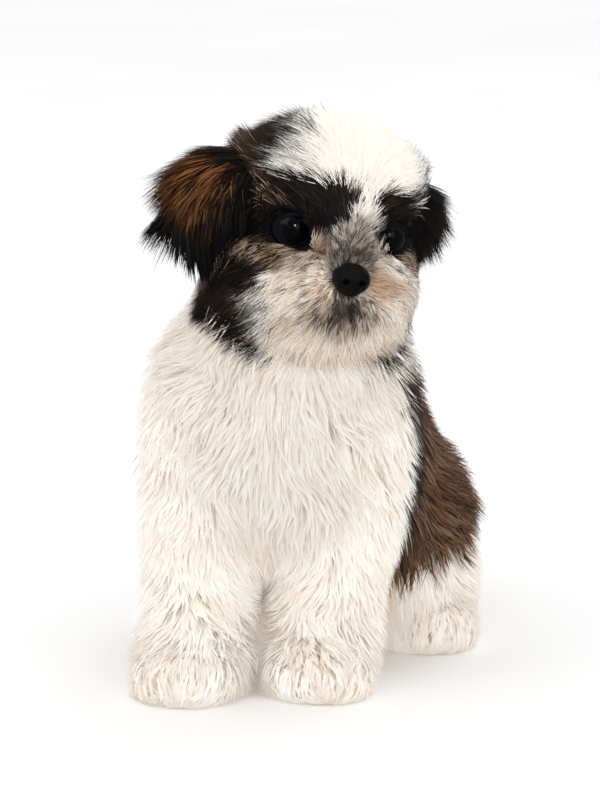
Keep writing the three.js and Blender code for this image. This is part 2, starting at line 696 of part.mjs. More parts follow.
// The coat of the face grows out from the nose on every side, in rings that reach the cheeks and brows.
const FACE_RINGS = [
  { radius: 13, count: 10, length: 18, width: 7.5, rise: 3 },
  { radius: 22, count: 12, length: 22, width: 10, rise: 4.5 },
  { radius: 33, count: 13, length: 25, width: 13, rise: 5.5 },
];
const EYE_CLEAR = EYE_RADIUS + 2;
const clearOfEyes = (path) =>
  [1, -1].every((side) => path.every(({ at }) => at.distanceTo(eyePlace(side)) > EYE_CLEAR));
function addLock(name, path, width, thick) {
  if (runsSmooth(path) && clearOfEyes(path)) LOCKS[name].push({ path, width, thick });
}
function faceLocks() {
  const inward = headWay([0, 1, 0]);
  FACE_RINGS.forEach(({ radius, count, length, width, rise }, ring) => {
    for (let i = 0; i < count; i++) {
      const round = ((i + ring / 2 + draw(-0.12, 0.12)) / count) * Math.PI * 2;
      const from = onHead([radius * Math.cos(round), -90, NOSE_PLACE[2] + radius * Math.sin(round)]);
      const root = from.clone().addScaledVector(inward, reach((p) => -ground(p), from, inward));
      const name = Object.keys(core).reduce((a, b) => (core[b](root) < core[a](root) ? b : a));
      if (!LOCKS[name] || ROWS[name]) continue;
      addLock(name, lockPath(root, fromNose(0.15), length * draw(0.9, 1.1), rise), width, width * 0.2);
    }
  });
}
// The head has no locks of its own under an ear's flap.
const UNDER_EAR = 11;
const earMiddles = Object.values(EARS).flatMap((ear) =>
  [0.25, 0.55, 0.85].map((s) => onHead(earPoint(ear, s, 0, 0).toArray())),
);
const underEar = (p) => earMiddles.some((middle) => middle.distanceTo(p) < UNDER_EAR);
// Locks spread evenly over the rest of the head, from the brows back to the neck.
const CROWN = { count: 50, length: 32, width: 20, rise: 6, fromNose: 49 };
const GOLDEN_TURN = Math.PI * (3 - Math.sqrt(5));
function crownLocks() {
  for (let i = 0; i < CROWN.count; i++) {
    const v = Math.acos(1 - (2 * (i + 0.5)) / CROWN.count) / Math.PI;
    const root = wrapPoint(WRAPS.head, i * GOLDEN_TURN, v);
    const inFace = root.distanceTo(NOSE_AT) < CROWN.fromNose;
    if (!showing("head", root) || inFace || underEar(root)) continue;
    const path = lockPath(root, fromNose(0.45), CROWN.length * draw(0.9, 1.1), CROWN.rise);
    addLock("head", path, CROWN.width * draw(0.9, 1.1), CROWN.width * 0.2);
  }
}
// Locks on the outer side of an ear run from its root past its tip and edges.
const EAR_LOCKS = { length: 31, width: 15, rise: 4, splay: 0.45, droop: 6 };
function earLocks(ear) {
  const locks = [];
  for (const s of [0.12, 0.55]) {
    for (const w of s < 0.3 ? [-0.4, 0.4] : [-0.8, 0, 0.8]) {
      const start = earPoint(ear, s, w, EAR_THICK / 2);
      const ahead = earPoint(ear, s + 0.1, w, EAR_THICK / 2);
      const edge = earPoint(ear, s, w + 0.1, EAR_THICK / 2);
      const along = ahead.sub(start).normalize();
      const aside = edge.sub(start).normalize();
      along.addScaledVector(aside, w * EAR_LOCKS.splay).normalize();
      const up = along.clone().cross(aside).normalize();
      if (up.x * ear.root[0] < 0) up.negate();
      const length = EAR_LOCKS.length * draw(0.85, 1.1);
      const path = Array.from({ length: STEPS + 1 }, (_, i) => {
        const k = i / STEPS;
        const p = start
          .clone()
          .addScaledVector(along, length * k)
          .addScaledVector(up, THREE.MathUtils.lerp(-1, EAR_LOCKS.rise, k))
          .add(vec([0, 0, -EAR_LOCKS.droop * k * k]));
        const way = headWay(along.toArray());
        const face = headWay(up.toArray());
        return { at: onHead(p.toArray()), up: face, along: way, side: way.clone().cross(face) };
      });
      locks.push({ path, width: EAR_LOCKS.width, thick: EAR_LOCKS.width * 0.2 });
    }
  }
  return locks;
}
const WHITE_PARTS = ["neck", "jaw", "forepaw", "hindpaw", "foreleg", "muzzle"];
function finish(name) {
  const colour = name.startsWith("eye")
    ? COLOUR.eye
    : name === "nose"
      ? COLOUR.skin
      : name.startsWith("ear")
        ? COLOUR.dark
        : WHITE_PARTS.some((start) => name.startsWith(start))
          ? COLOUR.white
          : COLOUR.brown;
  const roughness = name.startsWith("eye") ? 0.08 : name === "nose" ? 0.35 : 0.85;
  return new THREE.MeshStandardMaterial({ color: colour, roughness, metalness: 0 });
}

const LOCKS = {};
for (const name of Object.keys(ROWS)) LOCKS[name] = rowLocks(name);
for (const name of ["head", "muzzle", "jaw"]) LOCKS[name] = [];
faceLocks();
crownLocks();
for (const [name, ear] of Object.entries(EARS)) LOCKS[name] = earLocks(ear);
const coated = (name, made, grow) =>
  LOCKS[name] ? union([made, ...LOCKS[name].map((strand) => lock(strand, grow))]) : made;
const grown = new Map();
const grownPart = (name) => {
  if (!grown.has(name)) grown.set(name, coated(name, plain(name, GAP), GAP));
  return grown.get(name);
};
// Where the thin edges of two parts' locks still cross, small blocks are cut away round the crossings.
// Blocks that lie close to one another are one.
const BLOCKS_APART = 1.5;
const finished = new Map();
function clearOf(made, others, margin) {
  const boxes = [];
  const nearTo = (box) => (known) => known.clone().expandByScalar(BLOCKS_APART).intersectsBox(box);
  for (const crossing of others.flatMap((other) => made.intersect(other).decompose())) {
    const { min, max } = crossing.boundingBox();
    const box = new THREE.Box3(vec(min), vec(max)).expandByScalar(margin);
    while (boxes.some(nearTo(box))) {
      const [known] = boxes.splice(boxes.findIndex(nearTo(box)), 1);
      box.union(known);
    }
    boxes.push(box);
  }
  return boxes.length > 0 ? made.subtract(union(boxes.map(blockOver))) : made;
}
function shaped(name, margin) {
  let made = coated(name, name === "nose" ? nose() : plain(name, 0), 0);
  if (name === "head") {
    made = made.subtract(union([eyeOpening(1), eyeOpening(-1)]));
    made = union([made, lidRim(1, 0), lidRim(-1, 0)]);
  }
  made = made.subtract(union([floorBlock, ...YIELDS[name].map(grownPart)]));
  return clearOf(made, YIELDS[name].map((other) => finished.get(other)), margin);
}
// A part whose sheets touch somewhere is made again with a wider margin, and in the end without the
// lock nearest to that place, until none do.
const MARGINS = [0, 0.08, 0.17, 0.29];
function part(name) {
  for (;;) {
    let found;
    for (const more of MARGINS) {
      found = keptBody(shaped(name, GAP + more));
      if (found.body) {
        finished.set(name, found.body);
        return found.body;
      }
    }
    const { pinch } = found;
    const away = (strand) => Math.min(...strand.path.map(({ at }) => at.distanceTo(pinch)));
    const nearest = LOCKS[name].reduce((a, b) => (away(b) < away(a) ? b : a));
    LOCKS[name] = LOCKS[name].filter((strand) => strand !== nearest);
    grown.delete(name);
  }
}

const puppy = new THREE.Group();
puppy.name = "shih_tzu_puppy";
for (const name of Object.keys(YIELDS)) {
  const mesh = part(name).getMesh();
  const geometry = new THREE.BufferGeometry();
  geometry.setAttribute("position", new THREE.BufferAttribute(mesh.vertProperties, 3));
  geometry.setIndex(new THREE.BufferAttribute(mesh.triVerts, 1));
  const made = new THREE.Mesh(geometry, finish(name));
  made.name = name;
  puppy.add(made);
}
// The origin is on the floor, below the middle of the whole puppy.
const middle = new THREE.Box3().setFromObject(puppy).getCenter(new THREE.Vector3());
puppy.position.set(-middle.x, -middle.y, 0);
export default puppy;
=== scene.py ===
"""The looks of a sitting shih tzu puppy of about eight weeks: skin, long soft coat, eyes, nose and claws.

Forms are worked out in millimetres in the puppy's own frame: X to its left, Y to its back, Z up.
"""

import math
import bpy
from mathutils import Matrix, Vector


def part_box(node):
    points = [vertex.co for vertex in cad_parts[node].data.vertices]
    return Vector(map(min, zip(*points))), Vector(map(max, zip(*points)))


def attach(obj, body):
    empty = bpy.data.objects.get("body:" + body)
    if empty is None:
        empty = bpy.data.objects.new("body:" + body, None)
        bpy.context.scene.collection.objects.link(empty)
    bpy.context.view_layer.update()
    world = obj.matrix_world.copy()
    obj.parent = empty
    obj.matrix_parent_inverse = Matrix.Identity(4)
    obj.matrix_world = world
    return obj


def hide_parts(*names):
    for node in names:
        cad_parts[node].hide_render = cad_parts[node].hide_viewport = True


bl_info = {
    "name": "Shih tzu puppy",
    "version": (1, 0, 0),
    "blender": (4, 5, 0),
    "location": "View3D > Sidebar > Puppy",
    "description": "Skin, coat, eyes, nose and claws of a sitting shih tzu puppy, and its plain stage",
    "category": "Add Mesh",
}

import bpy
import numpy as np
from bpy.props import FloatProperty, FloatVectorProperty, IntProperty, PointerProperty
from mathutils import Vector

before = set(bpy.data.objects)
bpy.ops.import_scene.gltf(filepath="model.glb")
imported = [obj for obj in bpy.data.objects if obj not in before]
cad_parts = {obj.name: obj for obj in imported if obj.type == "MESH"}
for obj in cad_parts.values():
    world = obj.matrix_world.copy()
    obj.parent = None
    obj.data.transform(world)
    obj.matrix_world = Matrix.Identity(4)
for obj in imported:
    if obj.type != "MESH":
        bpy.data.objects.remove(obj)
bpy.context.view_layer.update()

# Driving sizes of the body, in millimetres and degrees
HEAD_CENTRE = np.array([28.0, 9.0, 197.0])
HEAD_YAW = 26
HEAD_PITCH = 10
HEAD_ROLL = 8
EYE_PLACE = np.array([19.5, -15.0, -3.0])
GAZE_OUT = 10
GAZE_UP = 0.04
NOSE_PLACE = np.array([0.0, -41.5, -13.5])
PAW_LEFT = (26, 7)
PAW_RIGHT = (-26, -7)
HIND_PAW_LEFT = (58, 84)
HIND_PAW_RIGHT = (-18, 71)
HIND_TOES_OUT = 14
PAW_HALF_WIDTH = 16.5
PAW_LENGTH = 38
TOE_APART = PAW_HALF_WIDTH * 0.46
TOE_RADII = (PAW_HALF_WIDTH * 0.27, 8.5, 7.5)
PAD_RADII = (PAW_HALF_WIDTH * 0.92, PAW_LENGTH * 0.4, 11)
HEEL_RADIUS = 11
# The toes of a paw from side to side, counted in widths of a toe
TOES = (-1.5, -0.5, 0.5, 1.5)
# Where each leg bends, from its top to its foot
LIMB_LINES = {
    "foreleg_left": [(34, 26, 112), (30, 20, 62), (27, 11, 26)],
    "foreleg_right": [(-24, 17, 112), (-26, 11, 62), (-25, -2, 26)],
    "hindleg_left": [(46, 108, 46), (47, 84, 42), (55, 112, 15)],
    "hindleg_right": [(-8, 106, 46), (-10, 76, 42), (-17, 102, 15)],
}
TAIL_LINE = [(19, 138, 30), (22, 156, 15), (10, 171, 10.5), (-12, 176, 10), (-34, 168, 9.5)]
# The distance given for places far from an ear, and how many near places are worked out at once
FAR_OFF = 40.0
EAR_AT_ONCE = 20000
EAR_HALF_WIDTH = 17
EAR_FLAP_THICK = 2.0
# The front edge of the ears' flaps, short of the temples
EAR_FRONT = -0.7
# For each ear, in the head's frame: where its flap starts and ends, how far it swings back and lifts off the
# head, the way that it faces in degrees, and how tan its coat is
EARS = {
    "ear_right": {"root": (-30, 8, 18), "tip": (-59, 4, -10), "back": 6, "lift": 11, "face": 20, "tan": 1.0},
    "ear_left": {"root": (28, 8, 14), "tip": (40, 8, -22), "back": 5, "lift": 10, "face": 24, "tan": 0.1},
}
FLOOR_CLEAR = 0.6
SEED = 20251
STRAND_WIDTH = 0.00085

# The whole model's nodes of flesh, which the one skin stands for
FLESH = [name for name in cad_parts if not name.startswith(("eye", "nose"))]


def turn(axis, degrees):
    """A turn about X, Y or Z as a matrix whose columns are the turned axes."""
    c, s = math.cos(math.radians(degrees)), math.sin(math.radians(degrees))
    matrix = np.eye(3)
    a, b = [(1, 2), (2, 0), (0, 1)][axis]
    matrix[a, a], matrix[b, b], matrix[a, b], matrix[b, a] = c, c, -s, s
    return matrix


HEAD_TURN = turn(2, HEAD_YAW) @ turn(0, HEAD_PITCH) @ turn(1, HEAD_ROLL)


def on_head(points):
    """Points of the head's own frame in the puppy's frame."""
    return HEAD_CENTRE + np.asarray(points, float) @ HEAD_TURN.T


def in_head(points):
    """Points of the puppy's frame in the head's own frame."""
    return (points - HEAD_CENTRE) @ HEAD_TURN


def mirrored(point):
    """The same place on the other side of the head."""
    return np.asarray(point, float) * (-1, 1, 1)


def unit(ways):
    """Ways of length one."""
    return ways / np.maximum(np.linalg.norm(ways, axis=-1, keepdims=True), 1e-9)


def blend_step(values, low, high):
    """From 0 below low to 1 above high, smooth between them."""
    t = np.clip((values - low) / (high - low), 0, 1)
    return t * t * (3 - 2 * t)


def band(values, low, low_full, high_full, high):
    """1 in the middle of a range, falling smoothly to 0 at both its ends."""
    return blend_step(values, low, low_full) * (1 - blend_step(values, high_full, high))


EYE_LEFT = on_head(EYE_PLACE)
NOSE_AT = on_head(NOSE_PLACE)
eye_low, eye_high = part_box("eye_left")
SHIFT = np.array([*(EYE_LEFT - np.array((eye_low + eye_high) / 2) * 1000)[:2], 0.0])


def placed(points):
    """Points of the puppy's frame, in millimetres, in the shared frame, in metres."""
    return (np.asarray(points, float) - SHIFT) / 1000


# Forms: each gives the distance of points from a surface, negative inside
def ball(centre, radii, turned=np.eye(3)):
    """An ellipsoid."""
    centre, radii = np.asarray(centre, float), np.asarray(radii, float)

    def form(points):
        q = (points - centre) @ turned / radii
        near = np.linalg.norm(q, axis=1)
        return near * (near - 1) / np.maximum(np.linalg.norm(q / radii, axis=1), 1e-6)

    return form


def cone(a, b, radius_a, radius_b):
    """A round cone with round ends."""
    a, b = np.asarray(a, float), np.asarray(b, float)

    def form(points):
        t = np.clip((points - a) @ (b - a) / ((b - a) @ (b - a)), 0, 1)
        radius = radius_a + (radius_b - radius_a) * t
        return np.linalg.norm(points - a - t[:, None] * (b - a), axis=1) - radius

    return form


def smooth_least(a, b, width):
    """The lesser of two distances, with a fillet of that width where they meet."""
    h = np.maximum(width - np.abs(a - b), 0) / width
    return np.minimum(a, b) - h * h * width / 4


def blended(forms, width):
    """Several forms that flow into one another."""

    def form(points):
        found = forms[0](points)
        for other in forms[1:]:
            found = smooth_least(found, other(points), width)
        return found

    return form


def head_ball(centre, radii):
    """An ellipsoid placed in the head's frame."""
    return ball(on_head(centre), radii, HEAD_TURN)


def head_pair(centre, radii):
    """The same ellipsoid on both sides of the head."""
    return [head_ball(centre, radii), head_ball(mirrored(centre), radii)]


FORELEG_RADII = (18, 14, 11.5)
THIGH_RADII = (20, 19)
SHIN_RADII = (16, 12)
LIMB_FILLET = 12


def foreleg(shoulder, elbow, wrist):
    """A foreleg from the shoulder to the wrist."""
    upper = cone(shoulder, elbow, *FORELEG_RADII[:2])
    lower = cone(elbow, wrist, *FORELEG_RADII[1:])
    return blended([upper, lower], LIMB_FILLET)


def hind_leg(hip, knee, hock):
    """A hind leg from the hip over the knee to the hock."""
    return blended([cone(hip, knee, *THIGH_RADII), cone(knee, hock, *SHIN_RADII)], LIMB_FILLET)


def paw_frame(place, degrees):
    """Where a paw stands and how it is turned."""
    return np.array([*place, 0.0]), turn(2, degrees)


# Each paw's frame, and the end of its heel in that frame
PAWS = {
    "forepaw_left": (paw_frame(PAW_LEFT, 6), (0.5, 6, 18)),
    "forepaw_right": (paw_frame(PAW_RIGHT, -4), (-0.5, 6, 18)),
    "hindpaw_left": (paw_frame(HIND_PAW_LEFT, HIND_TOES_OUT), (0, 26, 13)),
    "hindpaw_right": (paw_frame(HIND_PAW_RIGHT, -HIND_TOES_OUT), (0, 26, 13)),
}


def toe_place(side):
    """The middle of a toe in its paw's frame; side runs from -1.5 to 1.5."""
    return np.array([side * TOE_APART, -11.0 if abs(side) > 1 else -15.0, 6.5])


def paw(frame_of, heel):
    """A pad with four toes in front and a heel that runs back."""
    at, turned = frame_of
    toes = [ball(at + turned @ toe_place(side), TOE_RADII, turned) for side in TOES]
    pad = ball(at + turned @ (0, -2, 8), PAD_RADII, turned)
    back = cone(at + turned @ (0, 4, 12), at + turned @ heel, HEEL_RADIUS, HEEL_RADIUS)
    return blended([*toes, pad, back], 5)


def curve_through(points, count):
    """Points evenly spread on a smooth curve through a few given ones."""
    p = np.asarray(points, float)
    p = np.vstack([2 * p[0] - p[1], p, 2 * p[-1] - p[-2]])
    at = np.linspace(0, len(points) - 1 - 1e-6, count)
    i, t = at.astype(int), (at % 1)[:, None]
    a, b, c, d = p[i], p[i + 1], p[i + 2], p[i + 3]
    return 0.5 * (2 * b + (c - a) * t + (2 * a - 5 * b + 4 * c - d) * t**2 + (3 * b - a - 3 * c + d) * t**3)


TAIL_POINTS = curve_through(TAIL_LINE, 9)


def ear_point(ear, s, w, depth):
    """A place on an ear's flap, in the head's frame: s runs from root to tip, w from edge to edge."""
    s, w, depth = (np.asarray(x, float)[..., None] for x in (s, w, depth))
    root, tip = np.array(ear["root"], float), np.array(ear["tip"], float)
    side, face = np.sign(root[0]), math.radians(ear["face"])
    out = np.array([side * math.cos(face) * 0.8, -math.sin(face) * 0.8, 0.6])
    across = np.array([side * math.sin(face), math.cos(face), 0])
    width = EAR_HALF_WIDTH * (0.62 + 0.75 * s - 0.9 * s**3)
    bulge = ear["lift"] * np.sin(np.pi * np.minimum(s * 1.15, 1)) * (1 - 0.45 * w * w)
    aside = (w * width + ear["back"] * s) * across - 4 * np.abs(w) * s * (0, 0, 1)
    return root + (tip - root) * s + out * (bulge - 5 * w * w + depth) + aside


def ear_form(ear):
    """An ear's flap: all that lies close to a grid of places on it."""
    s, w = np.meshgrid(np.linspace(-0.05, 0.95, 16), np.linspace(EAR_FRONT, 0.9, 12))
    round_tip = np.sqrt(np.maximum(1 - np.maximum((s - 0.5) / 0.5, 0) ** 2 * 0.75, 0))
    samples = on_head(ear_point(ear, s, w * round_tip, 0.0).reshape(-1, 3))
    low, high = samples.min(0) - 12, samples.max(0) + 12

    def form(points):
        found = np.full(len(points), FAR_OFF)
        inside = np.flatnonzero(((points > low) & (points < high)).all(axis=1))
        for part in np.array_split(inside, max(len(inside) // EAR_AT_ONCE, 1)):
            apart = np.linalg.norm(points[part][:, None] - samples[None], axis=2)
            found[part] = apart.min(axis=1) - EAR_FLAP_THICK
        return found

    return form


# The form of each part without its coat, with the width of the fillets between what it is made of
PART_FORMS = {
    "head": blended(
        [
            head_ball((0, 5, 3), (31, 32, 24)),
            head_ball((0, -10, 9), (25, 18, 16)),
            *head_pair((18, -6, -15), (15, 19, 16)),
            head_ball((0, 8, -16), (24, 24, 22)),
        ],
        9,
    ),
    "muzzle": blended(
        [head_ball((0, -24, -16), (16, 14, 12)), *head_pair((8.5, -29, -20), (10, 9.5, 8.5))],
        6,
    ),
    "jaw": blended([head_ball((0, -22, -30.5), (14, 13, 8)), head_ball((0, -10, -32), (18, 16, 10))], 6),
    "neck": cone((7, 24, 130), (22, 19, 176), 33, 26),
    "torso": blended(
        [
            ball((19, 112, 40), (39, 33, 38)),
            ball((14, 82, 62), (42, 38, 40)),
            ball((8, 50, 90), (43, 36, 40)),
            ball((4, 25, 108), (38, 30, 38)),
        ],
        20,
    ),
    **{name: (foreleg if name.startswith("fore") else hind_leg)(*line) for name, line in LIMB_LINES.items()},
    **{name: paw(frame_of, heel) for name, (frame_of, heel) in PAWS.items()},
    "tail": blended(
        [cone(TAIL_POINTS[i], TAIL_POINTS[i + 1], 8 - i * 0.4, 7.6 - i * 0.4) for i in range(8)], 6
    ),
    **{name: ear_form(ear) for name, ear in EARS.items()},
}
PART_NAMES = list(PART_FORMS)
BODY_FORMS = [form for name, form in PART_FORMS.items() if not name.startswith("ear")]


def part_of(points):
    """The number in PART_NAMES of the part whose surface each point is nearest to."""
    return np.argmin([form(points) for form in PART_FORMS.values()], axis=0)


def gaze(side):
    """The way that an eye looks; side is 1 for the left eye and -1 for the right."""
    out = math.radians(GAZE_OUT)
    return unit(HEAD_TURN @ (side * math.sin(out), -math.cos(out), GAZE_UP))


def eye_at(side):
    """The middle of an eye."""
    return on_head(EYE_PLACE * (side, 1, 1))


# Grids: a form's distances read on even steps through the whole body
LOW = np.array([-62.0, -50.0, -3.0])
HIGH = np.array([100.0, 200.0, 246.0])


# How near to a surface a fine grid is worked out anew, in steps of the coarse one, and how far apart
# distances are read for the way out, in steps of the grid
NEAR_STEPS = 1.4
SLOPE_STEPS = 0.75


class Grid:
    """Distances on a grid, read between its points."""

    def __init__(self, form, step, coarse=None):
        """With a coarse grid, only the points near the surface are worked out anew."""
        self.step = step
        self.shape = tuple(np.ceil((HIGH - LOW) / step).astype(int) + 1)
        places = np.stack(np.meshgrid(*[np.arange(n) for n in self.shape], indexing="ij"), -1)
        points = LOW + places.reshape(-1, 3) * step
        if coarse is None:
            values = form(points)
        else:
            values = coarse.at(points)
            near = np.abs(values) < coarse.step * NEAR_STEPS
            values[near] = form(points[near])
        self.values = values.reshape(self.shape)

    def at(self, points):
        """The distance at each point."""
        place = np.clip((points - LOW) / self.step, 0, np.array(self.shape) - 1.001)
        i = place.astype(int)
        t = place - i
        found = 0
        for corner in np.ndindex(2, 2, 2):
            share = np.prod(np.where(corner, t, 1 - t), axis=1)
            found = found + share * self.values[tuple((i + corner).T)]
        return found

    def up(self, points):
        """The way out of the surface at each point."""
        steps = np.eye(3) * self.step * SLOPE_STEPS
        return unit(np.stack([self.at(points + s) - self.at(points - s) for s in steps], axis=1))


def surface_of(values, low, step):
    """Corners and four-sided faces of the surface where the values on a grid pass zero."""
    cells = np.array(values.shape) - 1
    sums, counts, quads = np.zeros((cells.prod(), 3)), np.zeros(cells.prod()), []
    for axis in range(3):
        a = np.moveaxis(values, axis, 0)[:-1]
        b = np.moveaxis(values, axis, 0)[1:]
        crossing = np.moveaxis((a < 0) != (b < 0), 0, axis)
        start = np.argwhere(crossing)
        u, v = (axis + 1) % 3, (axis + 2) % 3
        past = start[:, [u, v]]
        start = start[((past > 0) & (past < cells[[u, v]])).all(axis=1)]
        ahead = start.copy()
        ahead[:, axis] += 1
        first, second = values[tuple(start.T)], values[tuple(ahead.T)]
        points = start + (first / (first - second))[:, None] * np.eye(3)[axis]
        ring = []
        for du, dv in ((0, 0), (-1, 0), (-1, -1), (0, -1)):
            cell = start.copy()
            cell[:, u] += du
            cell[:, v] += dv
            index = np.ravel_multi_index(tuple(cell.T), cells)
            for k in range(3):
                sums[:, k] += np.bincount(index, points[:, k], cells.prod())
            counts += np.bincount(index, minlength=cells.prod())
            ring.append(index)
        ring = np.stack(ring, axis=1)
        quads.append(np.where((first < 0)[:, None], ring, ring[:, ::-1]))
    quads = np.vstack(quads)
    used, quads = np.unique(quads, return_inverse=True)
    return low + sums[used] / counts[used][:, None] * step, quads.reshape(-1, 4)


# Blender objects
def mesh_object(name, points, faces):
    """A new mesh object from corners in the puppy's frame and faces of one size."""
    mesh = bpy.data.meshes.new(name)
    points, faces = placed(points).astype(np.float32), np.asarray(faces, np.int32)
    mesh.vertices.add(len(points))
    mesh.vertices.foreach_set("co", points.ravel())
    mesh.loops.add(faces.size)
    mesh.loops.foreach_set("vertex_index", faces.ravel())
    mesh.polygons.add(len(faces))
    mesh.polygons.foreach_set("loop_start", np.arange(0, faces.size, faces.shape[1], dtype=np.int32))
    mesh.update(calc_edges=True)
    mesh.validate()
    mesh.shade_smooth()
    made = bpy.data.objects.new(name, mesh)
    bpy.context.scene.collection.objects.link(made)
    return made


def give_colours(mesh, name, colours):
    """A colour for each corner of a mesh, which its material reads by that name."""
    layer = mesh.attributes.new(name, "FLOAT_COLOR", "POINT")
    solid = np.hstack([colours, np.ones((len(colours), 1))])
    layer.data.foreach_set("color", solid.astype(np.float32).ravel())


def give_values(mesh, name, values):
    """A number for each corner of a mesh."""
    mesh.attributes.new(name, "FLOAT", "POINT").data.foreach_set("value", np.asarray(values, np.float32))


def finished(piece, slot, material, *nodes):
    """A piece with its material, riding on the body and standing for its nodes."""
    piece.data.materials.append(material)
    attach(piece, "root")
    if nodes:
        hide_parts(*nodes)
    return piece


# A way that none of the swept lines runs along
ACROSS_LINES = (0.13, 0.31, 0.94)


def swept(line, radii, sides, depth=1.0):
    """Corners and faces of a closed tube along a line: radii to the sides, and its depth as their share."""
    line, radii = np.asarray(line, float), np.asarray(radii, float)
    along = unit(np.gradient(line, axis=0))
    side = unit(np.cross(along, ACROSS_LINES))
    other = np.cross(along, side)
    angle = (np.arange(sides) / sides * 2 * np.pi)[None, :, None]
    rings = line[:, None] + radii[:, None, None] * (
        np.cos(angle) * side[:, None] + depth * np.sin(angle) * other[:, None]
    )
    points = np.vstack([rings.reshape(-1, 3), line[0], line[-1]])
    first, last = len(points) - 2, len(points) - 1
    faces = []
    for i in range(len(line) - 1):
        for k in range(sides):
            a, b = i * sides + k, i * sides + (k + 1) % sides
            faces += [(a, b, b + sides), (a, b + sides, a + sides)]
    end = (len(line) - 1) * sides
    for k in range(sides):
        faces += [((k + 1) % sides, k, first), (end + k, end + (k + 1) % sides, last)]
    return points, np.array(faces)


def joined(parts):
    """Several sets of corners and faces as one."""
    points, faces, count = [], [], 0
    for p, f in parts:
        points.append(p)
        faces.append(np.asarray(f) + count)
        count += len(p)
    return np.vstack(points), np.vstack(faces)


# Colours
def linear(red, green, blue):
    """A colour given from 0 to 255, as Blender's linear one."""
    c = np.array([red, green, blue]) / 255
    return np.where(c < 0.04045, c / 12.92, ((c + 0.055) / 1.055) ** 2.4)


def colour_property(label, text, red, green, blue):
    """A colour that a user may change."""
    colour = tuple(linear(red, green, blue))
    return FloatVectorProperty(
        name=label, description=text, subtype="COLOR", size=3, min=0, max=1, default=colour
    )


def length_property(label, text, metres, precision):
    """A length that a user may change."""
    return FloatProperty(name=label, description=text, default=metres, unit="LENGTH", precision=precision)


def share_property(label, text, least, most):
    """A share of the usual that a user may change."""
    return FloatProperty(name=label, description=text, default=1, min=least, max=most)


class PuppyColours(bpy.types.PropertyGroup):
    """The colours of the coat, the skin and the bare parts"""

    white: colour_property("White", "Forehead, chest and legs, at the tips", 251, 248, 243)
    cream: colour_property("Cream", "The beard, and the shaded parts of the white coat", 236, 217, 192)
    grey: colour_property("Grey", "Grey hair round the mouth and on the bridge of the nose", 116, 101, 91)
    tan: colour_property("Tan", "The light streaks under the eyes and in the beard", 158, 104, 56)
    amber: colour_property("Amber", "The light streaks on the right ear", 172, 109, 54)
    brown: colour_property("Brown", "The coat of the back", 117, 78, 49)
    dark: colour_property("Dark brown", "The dark coat of the head and ears", 42, 33, 27)
    black: colour_property("Black", "Brows, eye rims and cheeks", 16, 13, 12)
    bare: colour_property("Bare skin", "Skin under the white coat", 206, 170, 156)
    nose: colour_property("Nose", "Nose leather", 9, 8, 8)
    iris: colour_property("Iris", "The ring round the pupil", 14, 17, 26)
    claw: colour_property("Claw", "Horn of the claws", 196, 176, 158)


class PuppySizes(bpy.types.PropertyGroup):
    """The sizes that shape the coat and the bare parts"""

    eye_radius: length_property("Eye radius", "Half the width of the whole eyeball", 0.009, 4)
    coat_length: share_property("Coat length", "The coat's length, as a share of the usual", 0.2, 2)
    strand_width: length_property(
        "Strand width", "Width of a strand, which each coat takes its own share of", STRAND_WIDTH, 5
    )
    fullness: share_property("Fullness", "How many strands grow, as a share of the usual", 0.02, 1)
    skin_step: length_property("Skin step", "Size of a face of the skin", 0.0016, 4)
    seed: IntProperty(name="Seed", description="Starts the random draws", default=SEED)
    floor_size: length_property("Floor", "Width of the floor", 14, 1)


def colours_of(scene):
    """The chosen colours as arrays."""
    chosen = scene.puppy_colours
    return {name: np.array(getattr(chosen, name)) for name in PuppyColours.__annotations__}


RIPPLE_WAYS = unit(np.array([[1, 0.3, 0.7], [-0.4, 1, 0.5], [0.6, -0.8, 1], [0.2, 0.9, -0.6]]))


def ripple(points, size, seed=0.0):
    """A smooth wavy number from -1 to 1 over space, with waves of about that size."""
    total = 0
    for i, way in enumerate(RIPPLE_WAYS):
        total = total + np.sin(points @ way * (2 * np.pi / size) * (1 + 0.23 * i) + seed + 1.7 * i)
    return total / len(RIPPLE_WAYS)


def mixed(a, b, share):
    """Colours between two."""
    return a + (b - a) * np.asarray(share)[:, None]


def painted(root, tip, ink, layers):
    """Root and tip colours with layers laid over them: for each, its end, its colour's name and its share."""
    ends = {"root": root, "tip": tip}
    for end, colour, share in layers:
        ends[end] = mixed(ends[end], ink[colour], share)
    return ends["root"], ends["tip"]


# Half width of the white blaze at heights over the middle of the head, and how far it leans to the left
BLAZE_HEIGHTS = (-12, -4, 0, 4, 8, 10, 12, 15, 18, 24, 30)
BLAZE_HALF_WIDTHS = (12, 9.0, 5.5, 2.6, 1.6, 3.0, 12, 23, 24, 18, 12)
BLAZE_LEAN = 2.6
# How ragged the blaze's edge is where the blaze is narrow and where it is broad
RAGGED_AT = (3, 20)
RAGGED = (0.5, 2.8)
# The light hair of the muzzle reaches this far round its middle, less far where it is stretched
MUZZLE_MIDDLE = np.array([0, -33, -21.0])
MUZZLE_STRETCH = (0.92, 0.75, 1)
MUZZLE_REACH = 19
THROAT_HEIGHT = -33
MOUTH_MIDDLE = np.array([0, -39, -24.0])
